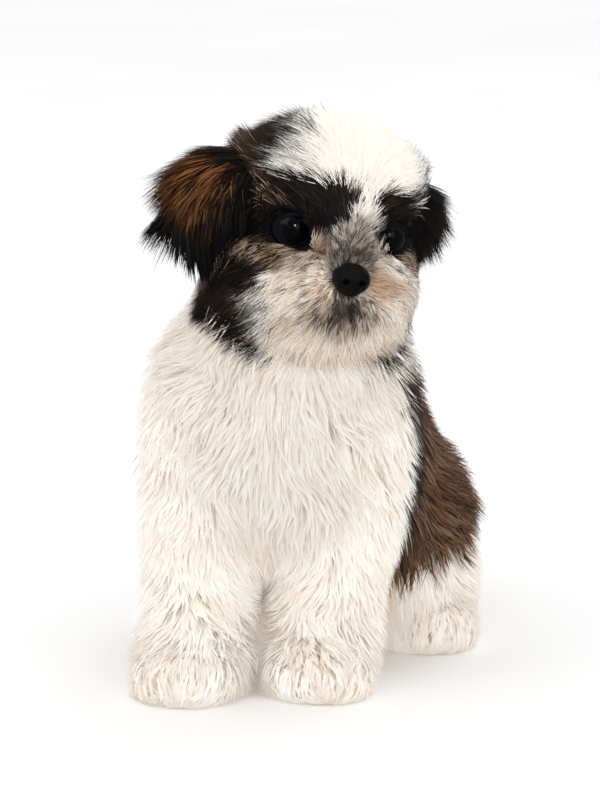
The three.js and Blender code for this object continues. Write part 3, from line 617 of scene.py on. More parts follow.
# Spots in the head's frame: middle, stretch each way, how ragged, and where each starts to fade and ends
SPOTS = {
    "mouth": (MOUTH_MIDDLE + (0, 0, 0.8), (0.75, 1, 1.35), 1.2, 5, 8.5),
    "mouth line": (MOUTH_MIDDLE + (0, 0, 0.8), (0.75, 1, 1.35), 1.2, 3, 5.5),
    "over nose": (NOSE_PLACE + (0, 2, 2), 1, 1, 7, 9.5),
    "by nose": ((10, -38, -16), 1, 1, 2.5, 6),
    "left of chin": ((13, -22, -37), (1, 0.9, 1.2), 1.5, 4.5, 7.5),
    "under eye corner": ((12, -30, -9), 1, 0, 4, 8),
    "eye corner": ((11.5, -26, -2.5), 1, 0.8, 4.5, 7),
    "lips": (MOUTH_MIDDLE, (0.6, 1, 1), 0, 8, 12),
}


def spot(name, places, stray):
    """From 1 in the middle of a spot to 0 outside it."""
    middle, stretch, ragged, full, end = SPOTS[name]
    return 1 - blend_step(np.linalg.norm((places - middle) * stretch, axis=1) + ragged * stray, full, end)


def from_white(q, side, jitter, stray):
    """How far places of the head lie outside its blaze, its light muzzle and its white throat."""
    x, y, z = q.T
    half = np.interp(z + 1.1 * stray, BLAZE_HEIGHTS, BLAZE_HALF_WIDTHS) * (1 - 0.9 * blend_step(y, 8, 30))
    # The blaze is narrower on the right, over the brow and again over the ear
    half -= (x < 0) * (2.5 * blend_step(z, 12, 17) + 3.5 * blend_step(z, 20, 26))
    from_blaze = side - half + jitter * np.interp(half, RAGGED_AT, RAGGED)
    from_muzzle = np.linalg.norm((q - MUZZLE_MIDDLE) * MUZZLE_STRETCH, axis=1) - MUZZLE_REACH + 1.5 * jitter
    # It is light further back on the left, and less far back low on the right cheek
    from_muzzle -= 4 * blend_step(x, 4, 12) * blend_step(-z, 12, 19)
    from_muzzle += 4.5 * blend_step(-x, 11, 17) * band(-z, 20, 25, 31, 37)
    from_throat = z - THROAT_HEIGHT - 0.25 * y + 1.2 * jitter
    # The black of the left cheek ends higher up, and that of the right one lower down
    from_throat += 2 * blend_step(-x, 8, 16) - 15 * (x > 0) * (y < 0)
    return from_blaze, from_muzzle, from_throat


def light_hair(q, side, from_muzzle, ink, stray):
    """Colours of the head's light hair: white, with cream, tan and grey strands on the muzzle."""
    y, z = q[:, 1], q[:, 2]
    ones = np.ones((len(q), 1))
    beard = blend_step(-from_muzzle, -2, 6) * (1 - blend_step(z, 0, 6))
    gaps = (stray < -0.5) * blend_step(from_muzzle, -9, -4) * blend_step(side, 8, 14)
    mouth = spot("mouth", q, stray)
    bridge = (1 - blend_step(side, 8, 13)) * band(z, -13, -9, 0, 6) * (y < -18)
    over_nose = spot("over nose", q, stray)
    layers = [
        ("tip", "cream", beard * np.clip(0.5 + 0.5 * stray, 0, 1)),
        ("root", "tan", beard * 0.45),
        ("tip", "tan", beard * (stray > 0.6) * 0.4),
        ("root", "dark", beard * (stray < 0.0) * 0.8),
        ("tip", "grey", beard * (stray < -0.62) * 0.7),
        ("tip", "dark", gaps * 0.75),
        ("root", "black", mouth * 0.9),
        ("tip", "grey", mouth * np.clip(0.7 - 0.6 * stray, 0, 1)),
        ("tip", "dark", spot("mouth line", q, stray) * 0.85),
        ("root", "dark", bridge * 0.9),
        ("tip", "grey", bridge * np.clip(0.68 + 0.8 * stray, 0, 1)),
        ("tip", "tan", bridge * (stray < -0.5) * 0.5),
        ("root", "black", over_nose),
        ("tip", "dark", over_nose * 0.62),
    ]
    return painted(ink["cream"] * ones, ink["white"] * ones, ink, layers)


def dark_hair(q, side, ink, stray):
    """Colours of the head's dark hair: black, brown at the temples, tan under the eyes, light in streaks."""
    x, y, z = q.T
    black = ink["black"] * np.ones((len(q), 1))
    temple = blend_step(side + 2 * stray, 21, 31) * blend_step(z, -1, 3)
    streak = temple * (stray > 0.6) * (y < 16) * (1 - blend_step(z, 14, 20))
    left_brow = blend_step(x, 12, 20) * blend_step(z, 5, 9) * (stray > 0.15) * (y < 10)
    under_eye = band(z, -13, -10.5, -8, -5) * (y < 8) * blend_step(side, 14, 19)
    layers = [
        ("root", "dark", temple),
        ("tip", "dark", np.maximum(temple, blend_step(z, 10, 14))),
        ("tip", "brown", np.clip(stray - 0.3, 0, 1) * 0.5),
        ("tip", "brown", temple * np.clip(0.3 + 0.5 * stray, 0, 1) * 0.7),
        ("tip", "cream", streak * 0.45),
        ("tip", "white", left_brow * 0.75),
        ("root", "brown", streak * 0.4),
        ("tip", "tan", under_eye * np.clip(0.35 + 0.5 * stray, 0, 1) * 0.8),
        ("tip", "cream", under_eye * (stray > 0.4) * 0.5),
    ]
    return painted(black, black, ink, layers)


def head_markings(q, ink, stray, wobble):
    """Root and tip colours of the head's coat at places in its own frame."""
    x, y, z = q.T
    side = np.abs(x - BLAZE_LEAN * blend_step(z, -10, 5))
    either_side = np.c_[side, y, z]
    from_blaze, from_muzzle, from_throat = from_white(q, side, 1.2 * wobble + stray, stray)
    dark = blend_step(from_blaze, -0.6, 0.6) * blend_step(from_muzzle, -0.8, 0.8)
    dark = dark * blend_step(from_throat, -1.5, 1.5)
    light_root, light_tip = light_hair(q, side, from_muzzle, ink, stray)
    dark_root, dark_tip = dark_hair(q, side, ink, stray)
    under_corner = spot("under eye corner", either_side, stray) * (x < 0)
    corner = spot("eye corner", either_side, stray)
    by_nose = spot("by nose", q, stray)
    chin = spot("left of chin", q, stray)
    layers = [
        ("root", "dark", under_corner * 0.7),
        ("tip", "tan", under_corner * 0.45),
        ("root", "black", corner),
        ("tip", "black", corner),
        ("root", "tan", by_nose * 0.8),
        ("tip", "tan", by_nose * 0.6),
        ("root", "black", chin),
        ("tip", "black", chin),
    ]
    return painted(mixed(light_root, dark_root, dark), mixed(light_tip, dark_tip, dark), ink, layers)


# Painted shade under the head: the trunk's white coat is a little darker than the legs'
TRUNK_SHADE = 0.89
# How far back the brown of the back begins at heights over the floor, and how much further on the right
SADDLE_HEIGHTS = (35, 68, 99, 126, 160)
SADDLE_EDGES = (44, 29, 19, 14, 12)
SADDLE_RIGHT = 18
SADDLE_FORELEG = 5
SADDLE_LOW = 52
SADDLE_TOP = (140, 150)


def toe_grooves(points):
    """From 0 to 1 where a place lies between two toes, in front of any paw."""
    most = np.zeros(len(points))
    for (at, turned), _ in PAWS.values():
        x, y, _ = ((points - at) @ turned).T
        between = (0.5 + 0.5 * np.cos(2 * np.pi * x / TOE_APART)) ** 2
        most = np.maximum(most, between * (np.abs(x) < 1.8 * TOE_APART) * blend_step(-y, 5, 12) * (y > -34))
    return most


def white_hair(points, ink, wobble, name):
    """White hair behind the head, with warm cream painted shade in broad soft patches, on the trunk, low on
    it and towards its roots.
    """
    trunk = name in ("torso", "neck")
    # Painted shade: cream mixed into the white in broad soft patches, more on the trunk and low on the chest,
    # and more again at the roots
    painted_shade = 0.16 + 0.16 * wobble + 0.12 * ripple(points, 61, 4.0)
    painted_shade += 0.16 * trunk + 0.5 * (name == "torso") * (1 - blend_step(points[:, 2], 62, 88))
    white = ink["white"] * np.ones((len(points), 1)) * (TRUNK_SHADE if trunk else 1)
    cream = ink["cream"] * (TRUNK_SHADE if trunk else 1)
    return mixed(white, cream, 0.22 + painted_shade), mixed(white, cream, painted_shade)


def saddle_share(points, stray, wobble, name):
    """From 0 to 1 where the coat is brown as on the back, and how dark its edge is."""
    x, y, z = points.T
    if name == "tail":
        return 1 - blend_step(TAIL_LINE[1][0] - x + 3 * wobble, 26, 36), 0.3
    edge = np.interp(z, SADDLE_HEIGHTS, SADDLE_EDGES) + 2.5 * wobble + 2 * stray
    edge += SADDLE_RIGHT * blend_step(-x, -8, 14) + SADDLE_FORELEG * name.startswith("foreleg")
    low_edge = SADDLE_LOW + 5 * ripple(points, 37, 2.0) + 3 * wobble
    saddle = blend_step(y - edge, -2, 2) * blend_step(z - low_edge + 2 * stray, -3, 3)
    return saddle * (1 - blend_step(z, *SADDLE_TOP)), 1 - blend_step(y - edge, 5, 16)


def body_markings(points, ink, stray, wobble, name):
    """Root and tip colours of the coat behind the head."""
    y, z = points[:, 1], points[:, 2]
    root, tip = white_hair(points, ink, wobble, name)
    if "paw_" in name:
        # Painted shade in the grooves between the toes: tan roots and cream tips there
        between = toe_grooves(points) * 0.4
        return painted(root, tip, ink, [("root", "tan", 0.6 * between), ("tip", "cream", between)])
    saddle, deep = saddle_share(points, stray, wobble, name)
    deep = np.maximum(deep, blend_step(0.5 * wobble + 0.8 * stray, 0.1, 0.7))
    low_black = blend_step(y, 92, 104) * (1 - blend_step(z, 56, 68))
    ones = np.ones((len(points), 1))
    layers = [
        ("tip", "cream", 0.13 * blend_step(-stray, 0.3, 0.6)),
        ("tip", "dark", np.maximum(deep, low_black)),
        ("root", "black", low_black),
    ]
    back_root, back_tip = painted(ink["dark"] * ones, ink["brown"] * ones, ink, layers)
    return mixed(root, back_root, saddle), mixed(tip, back_tip, saddle)


def ear_markings(s, w, ink, stray, tan):
    """Root and tip colours of an ear's coat: tan streaks on its face, black at its front edge and tip."""
    ones = np.ones((len(s), 1))
    face = blend_step(w, -0.6, -0.2) * (1 - blend_step(s, 0.42, 0.72)) * blend_step(s, 0.02, 0.12) * tan
    some = np.clip(0.3 + 0.8 * stray, 0, 0.9)
    root = mixed(ink["dark"] * ones, ink["amber"], face * some)
    outer = 1 - 0.6 * blend_step(w, 0.3, 0.9)
    tip = mixed(ink["black"] * ones, ink["amber"], face * some * outer)
    return root, tip


def markings(points, parts, ink, stray):
    """Root and tip colours of the coat at places on any part."""
    wobble = ripple(points, 22)
    root, tip = np.empty((len(points), 3)), np.empty((len(points), 3))
    for number, name in enumerate(PART_NAMES):
        here = parts == number
        if not here.any():
            continue
        if name in ("head", "muzzle", "jaw"):
            found = head_markings(in_head(points[here]), ink, stray[here], wobble[here])
        elif name.startswith("ear"):
            found = ink["dark"], ink["black"]
        else:
            found = body_markings(points[here], ink, stray[here], wobble[here], name)
        root[here], tip[here] = found
    return root, tip


# Shared effects of the materials
def new_group(name, inputs, outputs):
    """An empty shader group with named sockets."""
    group = bpy.data.node_groups.new(name, "ShaderNodeTree")
    for label, kind, value in inputs:
        group.interface.new_socket(label, in_out="INPUT", socket_type=kind).default_value = value
    for label, kind in outputs:
        group.interface.new_socket(label, in_out="OUTPUT", socket_type=kind)
    return group, group.nodes.new("NodeGroupInput"), group.nodes.new("NodeGroupOutput")


def mix_node(nodes, blend="MIX"):
    """A node that mixes two colours."""
    made = nodes.new("ShaderNodeMix")
    made.data_type, made.blend_type = "RGBA", blend
    return made


# Sockets of a mix node that mixes colours
MIX_A = 6
MIX_B = 7
MIX_RESULT = 2
# How much the grain's noise adds to a material's roughness
ROUGHNESS_SPREAD = 0.16


def grain_group():
    """Uneven tone: a colour made lighter and darker by noise, with the noise as a height."""
    group, ins, outs = new_group(
        "Grain",
        [
            ("Colour", "NodeSocketColor", (0.5, 0.5, 0.5, 1)),
            ("Scale", "NodeSocketFloat", 400.0),
            ("Amount", "NodeSocketFloat", 0.2),
            ("Roughness", "NodeSocketFloat", 0.5),
        ],
        [("Colour", "NodeSocketColor"), ("Roughness", "NodeSocketFloat"), ("Height", "NodeSocketFloat")],
    )
    nodes, link = group.nodes, group.links.new
    where = nodes.new("ShaderNodeTexCoord")
    noise = nodes.new("ShaderNodeTexNoise")
    noise.inputs["Detail"].default_value = 4
    link(where.outputs["Object"], noise.inputs["Vector"])
    link(ins.outputs["Scale"], noise.inputs["Scale"])
    spread = nodes.new("ShaderNodeMapRange")
    spread.inputs["From Min"].default_value = 0.3
    spread.inputs["From Max"].default_value = 0.7
    link(noise.outputs["Fac"], spread.inputs["Value"])
    tone = nodes.new("ShaderNodeCombineColor")
    low = nodes.new("ShaderNodeMath")
    low.operation = "SUBTRACT"
    low.inputs[0].default_value = 1.0
    link(ins.outputs["Amount"], low.inputs[1])
    link(low.outputs[0], spread.inputs["To Min"])
    for channel in range(3):
        link(spread.outputs["Result"], tone.inputs[channel])
    shade = mix_node(nodes, "MULTIPLY")
    shade.inputs["Factor"].default_value = 1
    link(ins.outputs["Colour"], shade.inputs[MIX_A])
    link(tone.outputs[0], shade.inputs[MIX_B])
    link(shade.outputs[MIX_RESULT], outs.inputs["Colour"])
    rough = nodes.new("ShaderNodeMath")
    rough.operation = "MULTIPLY_ADD"
    link(noise.outputs["Fac"], rough.inputs[0])
    rough.inputs[1].default_value = ROUGHNESS_SPREAD
    link(ins.outputs["Roughness"], rough.inputs[2])
    link(rough.outputs[0], outs.inputs["Roughness"])
    link(noise.outputs["Fac"], outs.inputs["Height"])
    return group


def grain():
    """The one grain group of the file."""
    return bpy.data.node_groups.get("Grain") or grain_group()


def new_material(name, roughness, **constants):
    """A material with grain between its colour and its shader, its grain node and its shader."""
    material = bpy.data.materials.new(name)
    material.use_nodes = True
    nodes, link = material.node_tree.nodes, material.node_tree.links.new
    shader = nodes["Principled BSDF"]
    for label, value in constants.items():
        shader.inputs[label.replace("_", " ")].default_value = value
    effect = nodes.new("ShaderNodeGroup")
    effect.node_tree = grain()
    effect.inputs["Roughness"].default_value = roughness
    link(effect.outputs["Colour"], shader.inputs["Base Color"])
    link(effect.outputs["Roughness"], shader.inputs["Roughness"])
    return material, effect, shader


def add_bump(material, effect, shader, strength, depth):
    """Bump from the grain's height."""
    bump = material.node_tree.nodes.new("ShaderNodeBump")
    bump.inputs["Strength"].default_value = strength
    bump.inputs["Distance"].default_value = depth
    material.node_tree.links.new(effect.outputs["Height"], bump.inputs["Height"])
    material.node_tree.links.new(bump.outputs["Normal"], shader.inputs["Normal"])


def read_attribute(material, name):
    """A node that reads an attribute of the mesh."""
    node = material.node_tree.nodes.new("ShaderNodeAttribute")
    node.attribute_name = name
    return node


# Scale and strength of the grain in hair and in skin
HAIR_GRAIN = (260, 0.05)
SKIN_GRAIN = (900, 0.25)


def read_colours(material, effect, scale, amount):
    """The coat's colours go through the grain, which has that scale and strength."""
    colour = read_attribute(material, "coat_colour")
    material.node_tree.links.new(colour.outputs["Color"], effect.inputs["Colour"])
    effect.inputs["Scale"].default_value = scale
    effect.inputs["Amount"].default_value = amount


# Light hair has a painted glow: it gives off light of its own colour, which stands in for light passed
# through fine hair and lightens the shade between strands. It also has a downy sheen
SHEEN_ROUGHNESS = 0.5
COAT_FINISHES_AND_GLOW = {
    "Light coat": (0.65, {"Specular_IOR_Level": 0.1, "Sheen_Weight": 0.2, "Emission_Strength": 0.18}),
    "Dark coat": (0.45, {"Specular_IOR_Level": 0.24, "Sheen_Weight": 0.02}),
}


def coat_material(name):
    """Hair: each strand's own colour from root to tip and fine uneven tone, downy and with a painted glow
    where it is light.
    """
    known = bpy.data.materials.get(name)
    if known:
        return known
    roughness, finish_and_glow = COAT_FINISHES_AND_GLOW[name]
    material, effect, shader = new_material(name, roughness, Sheen_Roughness=SHEEN_ROUGHNESS, **finish_and_glow)
    # The painted glow: pale hair gives off its own colour as light
    if "Emission_Strength" in finish_and_glow:
        material.node_tree.links.new(effect.outputs["Colour"], shader.inputs["Emission Color"])
    read_colours(material, effect, *HAIR_GRAIN)
    return material


def skin_material():
    """Skin with the coat's markings and fine pores."""
    material, effect, shader = new_material("Skin", 0.55, Specular_IOR_Level=0.3)
    read_colours(material, effect, *SKIN_GRAIN)
    add_bump(material, effect, shader, 0.4, 0.0003)
    return material


def leather_material(name, colour, roughness, scale, depth):
    """Bare dark skin with fine pebbles."""
    material, effect, shader = new_material(name, roughness, Specular_IOR_Level=0.25)
    nodes, link = material.node_tree.nodes, material.node_tree.links.new
    effect.inputs["Colour"].default_value = (*colour, 1)
    effect.inputs["Scale"].default_value = scale * 0.4
    effect.inputs["Amount"].default_value = 0.35
    where = nodes.new("ShaderNodeTexCoord")
    pebbles = nodes.new("ShaderNodeTexVoronoi")
    pebbles.inputs["Scale"].default_value = scale
    link(where.outputs["Object"], pebbles.inputs["Vector"])
    bump = nodes.new("ShaderNodeBump")
    bump.invert = True
    bump.inputs["Strength"].default_value = 1.0
    bump.inputs["Distance"].default_value = depth
    link(pebbles.outputs["Distance"], bump.inputs["Height"])
    link(bump.outputs["Normal"], shader.inputs["Normal"])
    return material


# Where the eye's colours end and start, from 0 in the middle of the pupil to 1 at the back of the ball
PUPIL_END = 0.3
IRIS_START = 0.36
IRIS_END = 0.52
RING_START = 0.6
PUPIL_COLOUR = (0.001, 0.001, 0.0015)
RING_COLOUR = (0.002, 0.0015, 0.0015)
BALL_COLOUR = (0.01, 0.008, 0.008)
IRIS_EDGE_SHADE = 0.6
EYE_ROUGHNESS = 0.03


def eye_material(colours):
    """A wet dark eye: black pupil, dark iris and black outer ring."""
    material, effect, shader = new_material("Eye", EYE_ROUGHNESS, Specular_IOR_Level=0.45, IOR=1.4)
    nodes, link = material.node_tree.nodes, material.node_tree.links.new
    out = read_attribute(material, "from_pupil")
    ramp = nodes.new("ShaderNodeValToRGB")
    link(out.outputs["Fac"], ramp.inputs["Fac"])
    stops = [
        (0.0, PUPIL_COLOUR),
        (PUPIL_END, PUPIL_COLOUR),
        (IRIS_START, tuple(colours["iris"])),
        (IRIS_END, tuple(colours["iris"] * IRIS_EDGE_SHADE)),
        (RING_START, RING_COLOUR),
        (1.0, BALL_COLOUR),
    ]
    elements = ramp.color_ramp.elements
    while len(elements) < len(stops):
        elements.new(0.5)
    for element, (place, colour) in zip(elements, stops):
        element.position = place
        element.color = (*colour, 1)
    link(ramp.outputs["Color"], effect.inputs["Colour"])
    effect.inputs["Scale"].default_value = 1200
    effect.inputs["Amount"].default_value = 0.5
    # The eye is evenly smooth, so its roughness doesn't follow the grain
    material.node_tree.links.remove(shader.inputs["Roughness"].links[0])
    shader.inputs["Roughness"].default_value = EYE_ROUGHNESS
    return material


# The coat: where each strand grows, which way it lies and how long it is
BODY_FIELD = {}
# Fillets between the parts: of the skin, and of the fuller form without creases that the coat lies on
SKIN_FILLET = 8
COAT_FILLET = 22


def fields():
    """The grids that the skin and the coat are read from: the skin's, coarse, and the coat's fuller form."""
    if not BODY_FIELD:
        BODY_FIELD["coarse"] = Grid(blended(BODY_FORMS, SKIN_FILLET), 6)
        BODY_FIELD["full"] = Grid(blended(BODY_FORMS, COAT_FILLET), 3)
    return BODY_FIELD


EAR_FILLET = 3
SOCKET_RADIUS = 8.6
# The opening between the lids: how far before the eye's middle it lies, and its half widths
OPENING_AHEAD = 9.5
OPENING_RADII = (7.6, 9, 6.6)


def whole_skin(points):
    """Distance from the whole skin, with the sockets of the eyes cut into it and the floor below it."""
    found = blended(BODY_FORMS, SKIN_FILLET)(points)
    for ear in EARS:
        found = smooth_least(found, PART_FORMS[ear](points), EAR_FILLET)
    for side in (1, -1):
        socket = np.linalg.norm(points - eye_at(side), axis=1) - SOCKET_RADIUS
        opening = ball(eye_at(side) + OPENING_AHEAD * gaze(side), OPENING_RADII, HEAD_TURN)(points)
        found = -smooth_least(-found, socket, 1.0)
        found = -smooth_least(-found, opening, 2.5)
    return np.maximum(found, FLOOR_CLEAR - points[:, 2])


def crest_share(q):
    """From 0 to 1 where the coat stands up above the ears, at places in the head's frame."""
    beside, above = blend_step(np.abs(q[:, 0]), 18, 26), blend_step(q[:, 2], 10, 18)
    return beside * above * (1 - blend_step(q[:, 1], 14, 26))


def head_lie(points):
    """The coat of the head grows out from the nose, falls on the cheeks and runs back over the crown."""
    q = in_head(points)
    away = unit(q - NOSE_PLACE)
    side, y, z = np.abs(q[:, 0]), q[:, 1], q[:, 2]
    fall = 0.12 + 0.75 * blend_step(side, 18, 34) * (1 - blend_step(z, 0, 14)) + 0.5 * blend_step(y, 5, 30)
    # The coat parts over the middle of the crown, stands up above the ears and stands out low on the cheeks
    parting = blend_step(side, 3, 16) * blend_step(z, 8, 18) * (1 - 0.6 * blend_step(y, 0, 25))
    crest = crest_share(q)
    cheek = blend_step(side, 20, 32) * (1 - blend_step(z, -8, 4)) * blend_step(y, -22, -8)
    aside = np.sign(q[:, 0]) * (0.9 * parting + 0.4 * crest + 0.6 * cheek)
    down = fall + 0.4 * parting * (1 - crest) * blend_step(z, 14, 24)
    way = away + np.c_[aside, 0.25 * parting, 0.6 * crest - down - 0.25 * cheek]
    # Round the eyes it grows away from them
    for eye in (EYE_PLACE, mirrored(EYE_PLACE)):
        apart = (q - eye) * (1, 0, 1)
        close = 1 - blend_step(np.linalg.norm(apart, axis=1), 8, 14)
        way += unit(apart) * (1.3 * close * (y < 0))[:, None]
    return unit(way) @ HEAD_TURN.T


def trunk_lie(points):
    """Fanning down and outwards from the middle of the chest, and back along the body behind."""
    x, y, z = points.T
    spread = 0.022 * (x - 8) * blend_step(z, 60, 120)
    chest = np.c_[spread, np.full(len(x), -0.15), np.full(len(x), -1.0)]
    back = np.c_[0.008 * (x - 14), np.full(len(x), 0.75), np.full(len(x), -0.85)]
    return unit(mixed(chest, back, blend_step(y + (z - 100) * 0.4, 22, 60)))


def limb_lie(points):
    """Down the leg, a little outwards."""
    axes = [np.asarray(line, float) for line in LIMB_LINES.values()]
    apart = np.stack([np.linalg.norm(points[:, :2] - line[1][:2], axis=1) for line in axes])
    near = apart.argmin(axis=0)
    middles = np.stack([line[1] for line in axes])[near]
    out = unit((points - middles) * (1, 1, 0))
    return unit(out * 0.3 + (0, 0.12, -1.0))


def paw_lie(points):
    """Forwards over the toes and down to the floor, running into the way of the leg above."""
    places = np.stack([at for (at, _), _ in PAWS.values()])
    ahead = np.stack([turned @ (0, -1, 0) for (_, turned), _ in PAWS.values()])
    near = np.linalg.norm(points[:, None, :2] - places[None, :, :2], axis=2).argmin(axis=1)
    out = unit((points - places[near]) * (1, 1, 0))
    over_toes = unit(ahead[near] * 0.7 + out * 0.35 + (0, 0, -0.5))
    return unit(mixed(over_toes, limb_lie(points), blend_step(points[:, 2], 16, 40)))


def tail_lie(points):
    """Along the tail, a little outwards."""
    near = np.linalg.norm(points[:, None] - TAIL_POINTS[None], axis=2).argmin(axis=1)
    along = unit(np.gradient(TAIL_POINTS, axis=0))[near]
    return unit(along + 0.35 * unit(points - TAIL_POINTS[near]))


# Lengths and heights of the head's coat at distances from the nose
HEAD_HAIR_LENGTHS = ((6, 13, 17, 26, 36, 50), (3.5, 5.5, 10, 16, 18, 20))
HEAD_HAIR_RISES = ((6, 14, 24, 34, 50), (1.2, 3.5, 6.5, 10, 13))


def head_growth(points):
    """Length and height of the head's coat: short round the eyes and nose, long on the cheeks."""
    q = in_head(points)
    side, y, z = np.abs(q[:, 0]), q[:, 1], q[:, 2]
    from_nose = np.linalg.norm(q - NOSE_PLACE, axis=1)
    length = np.interp(from_nose, *HEAD_HAIR_LENGTHS)
    rise = np.interp(from_nose, *HEAD_HAIR_RISES)
    low_side = blend_step(side, 16, 30) * (1 - blend_step(z, -4, 8))
    length += 13 * low_side
    beard = blend_step(-z, 10, 22) * (1 - blend_step(y, -20, 0)) * blend_step(from_nose, 9, 18)
    length += 7 * beard
    rise += 2 * beard + 6 * crest_share(q) + 2 * blend_step(z, 14, 22)
    length += 5 * crest_share(q) + 4 * beard * blend_step(-z, 26, 34)
    bridge = (1 - blend_step(side, 8, 14)) * band(z, -12, -7, 2, 8) * (y < -15)
    length *= 1 - 0.35 * bridge
    rise *= 1 - 0.35 * bridge
    from_eye = np.minimum(*[np.linalg.norm(points - eye_at(side_), axis=1) for side_ in (1, -1)])
    brow = blend_step(z, 1, 5)
    near_eye = 1 - blend_step(from_eye, 9, 19 - 4 * brow)
    return length * (1 - (0.62 - 0.3 * brow) * near_eye), rise * (1 - (0.8 - 0.3 * brow) * near_eye)


def even_growth(length, rise):
    """The same length and rise everywhere on a part."""
    return lambda points: (np.full(len(points), float(length)), np.full(len(points), float(rise)))


# The coat's length and height on the paws, and between which heights it runs into that of the legs
PAW_HAIR_LENGTH = 13
PAW_HAIR_RISE = 8.5
ANKLE = (12, 46)
GROOVE_DEPTH = 0.38


def leg_growth(length, rise):
    """A leg's coat, shorter and flatter towards the paw, and close to the skin between the toes."""

    def growth(points):
        share = blend_step(points[:, 2], *ANKLE)
        long = PAW_HAIR_LENGTH + (length - PAW_HAIR_LENGTH) * share
        high = PAW_HAIR_RISE + (rise - PAW_HAIR_RISE) * share
        return long, high * (1 - GROOVE_DEPTH * toe_grooves(points))

    return growth


# The chest's coat runs this far back on the trunk
CHEST_BACK = 62
# On the head: how far round the nose the face's coat and the brows' reach, and the heights that the brows'
# and the crown's coat start at
FACE_REACH = 27
BROWS_REACH = 45
BROWS_LOW = -14
CROWN_LOW = 2


def zone_of(points, parts):
    """The coat piece that a place on the skin belongs to."""
    names = np.array(PART_NAMES)[parts]
    q = in_head(points)
    from_nose = np.linalg.norm(q - NOSE_PLACE, axis=1)
    zone = np.full(len(points), "coat_hindlegs", dtype="U16")
    zone[names == "torso"] = "coat_back"
    zone[(names == "torso") & (points[:, 1] < CHEST_BACK)] = "coat_chest"
    zone[names == "neck"] = "coat_neck"
    zone[np.char.startswith(names, "foreleg")] = "coat_forelegs"
    zone[np.char.find(names, "paw") > 0] = "coat_paws"
    zone[names == "tail"] = "coat_tail"
    zone[np.char.startswith(names, "ear")] = "none"
    head = names == "head"
    zone[head] = "coat_cheeks"
    zone[head & (q[:, 2] > CROWN_LOW)] = "coat_crown"
    zone[head & (from_nose < BROWS_REACH) & (q[:, 2] > BROWS_LOW)] = "coat_brows"
    zone[(head & (from_nose < FACE_REACH)) | (names == "muzzle") | (names == "jaw")] = "coat_face"
    return zone


# For each piece: how many strands, steps along each, share of the usual width, how much wider the strands are
# that stay under the others, how far they draw together in clumps, how far the way they lie wanders, and the
# functions that give the way they lie and their length and height
COATS = {
    "coat_face": {
        "count": 18000, "steps": 2, "width": 0.5, "under": 1.4, "clump": 0.65, "tousle": 0.3,
        "lie": head_lie, "growth": head_growth,
    },
    "coat_brows": {
        "count": 17500, "steps": 2, "width": 0.45, "under": 1.4, "clump": 0.6, "tousle": 0.3,
        "lie": head_lie, "growth": head_growth,
    },
    "coat_crown": {
        "count": 11500, "steps": 2, "width": 0.5, "under": 2.8, "clump": 0.4, "tousle": 0.5,
        "lie": head_lie, "growth": head_growth,
    },
    "coat_cheeks": {
        "count": 8400, "steps": 3, "width": 0.6, "under": 1.6, "clump": 0.5, "tousle": 0.6,
        "lie": head_lie, "growth": head_growth,
    },
    "coat_neck": {
        "count": 7000, "steps": 3, "width": 0.42, "under": 6.0, "clump": 0.35, "tousle": 0.8,
        "lie": trunk_lie, "growth": even_growth(26, 14),
    },
    "coat_chest": {
        "count": 9500, "steps": 3, "width": 0.42, "under": 6.0, "clump": 0.35, "tousle": 0.9,
        "lie": trunk_lie, "growth": even_growth(25, 17),
    },
    "coat_back": {
        "count": 8000, "steps": 3, "width": 0.7, "under": 2, "clump": 0.5, "tousle": 0.8,
        "lie": trunk_lie, "growth": even_growth(27, 15),
    },
    "coat_forelegs": {
        "count": 10000, "steps": 3, "width": 0.42, "under": 4.6, "clump": 0.3, "tousle": 0.7,
        "lie": paw_lie, "growth": leg_growth(18, 11.5),
    },
    "coat_hindlegs": {
        "count": 6000, "steps": 3, "width": 0.42, "under": 4.6, "clump": 0.35, "tousle": 0.7,
        "lie": paw_lie, "growth": leg_growth(20, 11),
    },
    "coat_paws": {
        "count": 15000, "steps": 2, "width": 0.5, "under": 4.8, "clump": 0.3, "tousle": 0.4,
        "lie": paw_lie, "growth": leg_growth(18, 11.5),
    },
    "coat_tail": {
        "count": 2200, "steps": 3, "width": 0.8, "under": 2, "clump": 0.5, "tousle": 0.8,
        "lie": tail_lie, "growth": even_growth(26, 9),
    },
}
EAR_COAT = {"count": 5000, "steps": 3, "width": 0.6, "clump": 0.5}
CLUMP_OF = 13
# How strands draw together along their length, how unevenly, and how far at most
CLUMP_POWER = 1.3
CLUMP_SPREAD = (0.5, 1.2)
CLUMP_MOST = 0.92
# How many strands look for their leader at once, which keeps the memory small
AT_ONCE = 1500
# The widest that a strand's patch is on the bake map
PATCH = 0.003
# A strand is shaded mostly as the coat's own surface is, so that the coat looks soft
SOFTNESS = 0.88
ROUNDNESS = 0.15
# Shares of the strands that stay low under the others, and that have their clump's tone
UNDER_SHARE = 0.42
CLUMP_TONE = 0.6
# How far the coat of the neck and chest stays from the jaw, and the longest first step of a strand there:
# a longer one comes from a root deep in the fold under the jaw
JAW_CLEAR = 8
FIRST_STEP = 13.5
# Lengths of strands as shares of their coat's, from and to
STRAND_SIZES = (0.75, 1.15)
# Heights of under and top strands as shares of their coat's: the least, and how much more some have
UNDER_HEIGHT = (0.76, 0.16)
TOP_HEIGHT = (0.88, 0.17)
# How deep roots are in the skin, and how a strand's height grows along it
ROOT_DEPTH = 0.9
RISE_POWER = 0.65
# How far single strands turn aside, and the widths of the waves in which the coat's lie wanders
TURN_ASIDE = 0.16
BROAD_WAVES = 34
FINE_WAVES = 15
# Widths of strands as shares of their coat's
STRAND_WIDTHS = (0.7, 1.25)
# A strand is light where its tip is paler than this
PALE = 0.25
# Where the root's colour starts to turn into the tip's, and where it has
COLOUR_TURN = (0.05, 0.7)
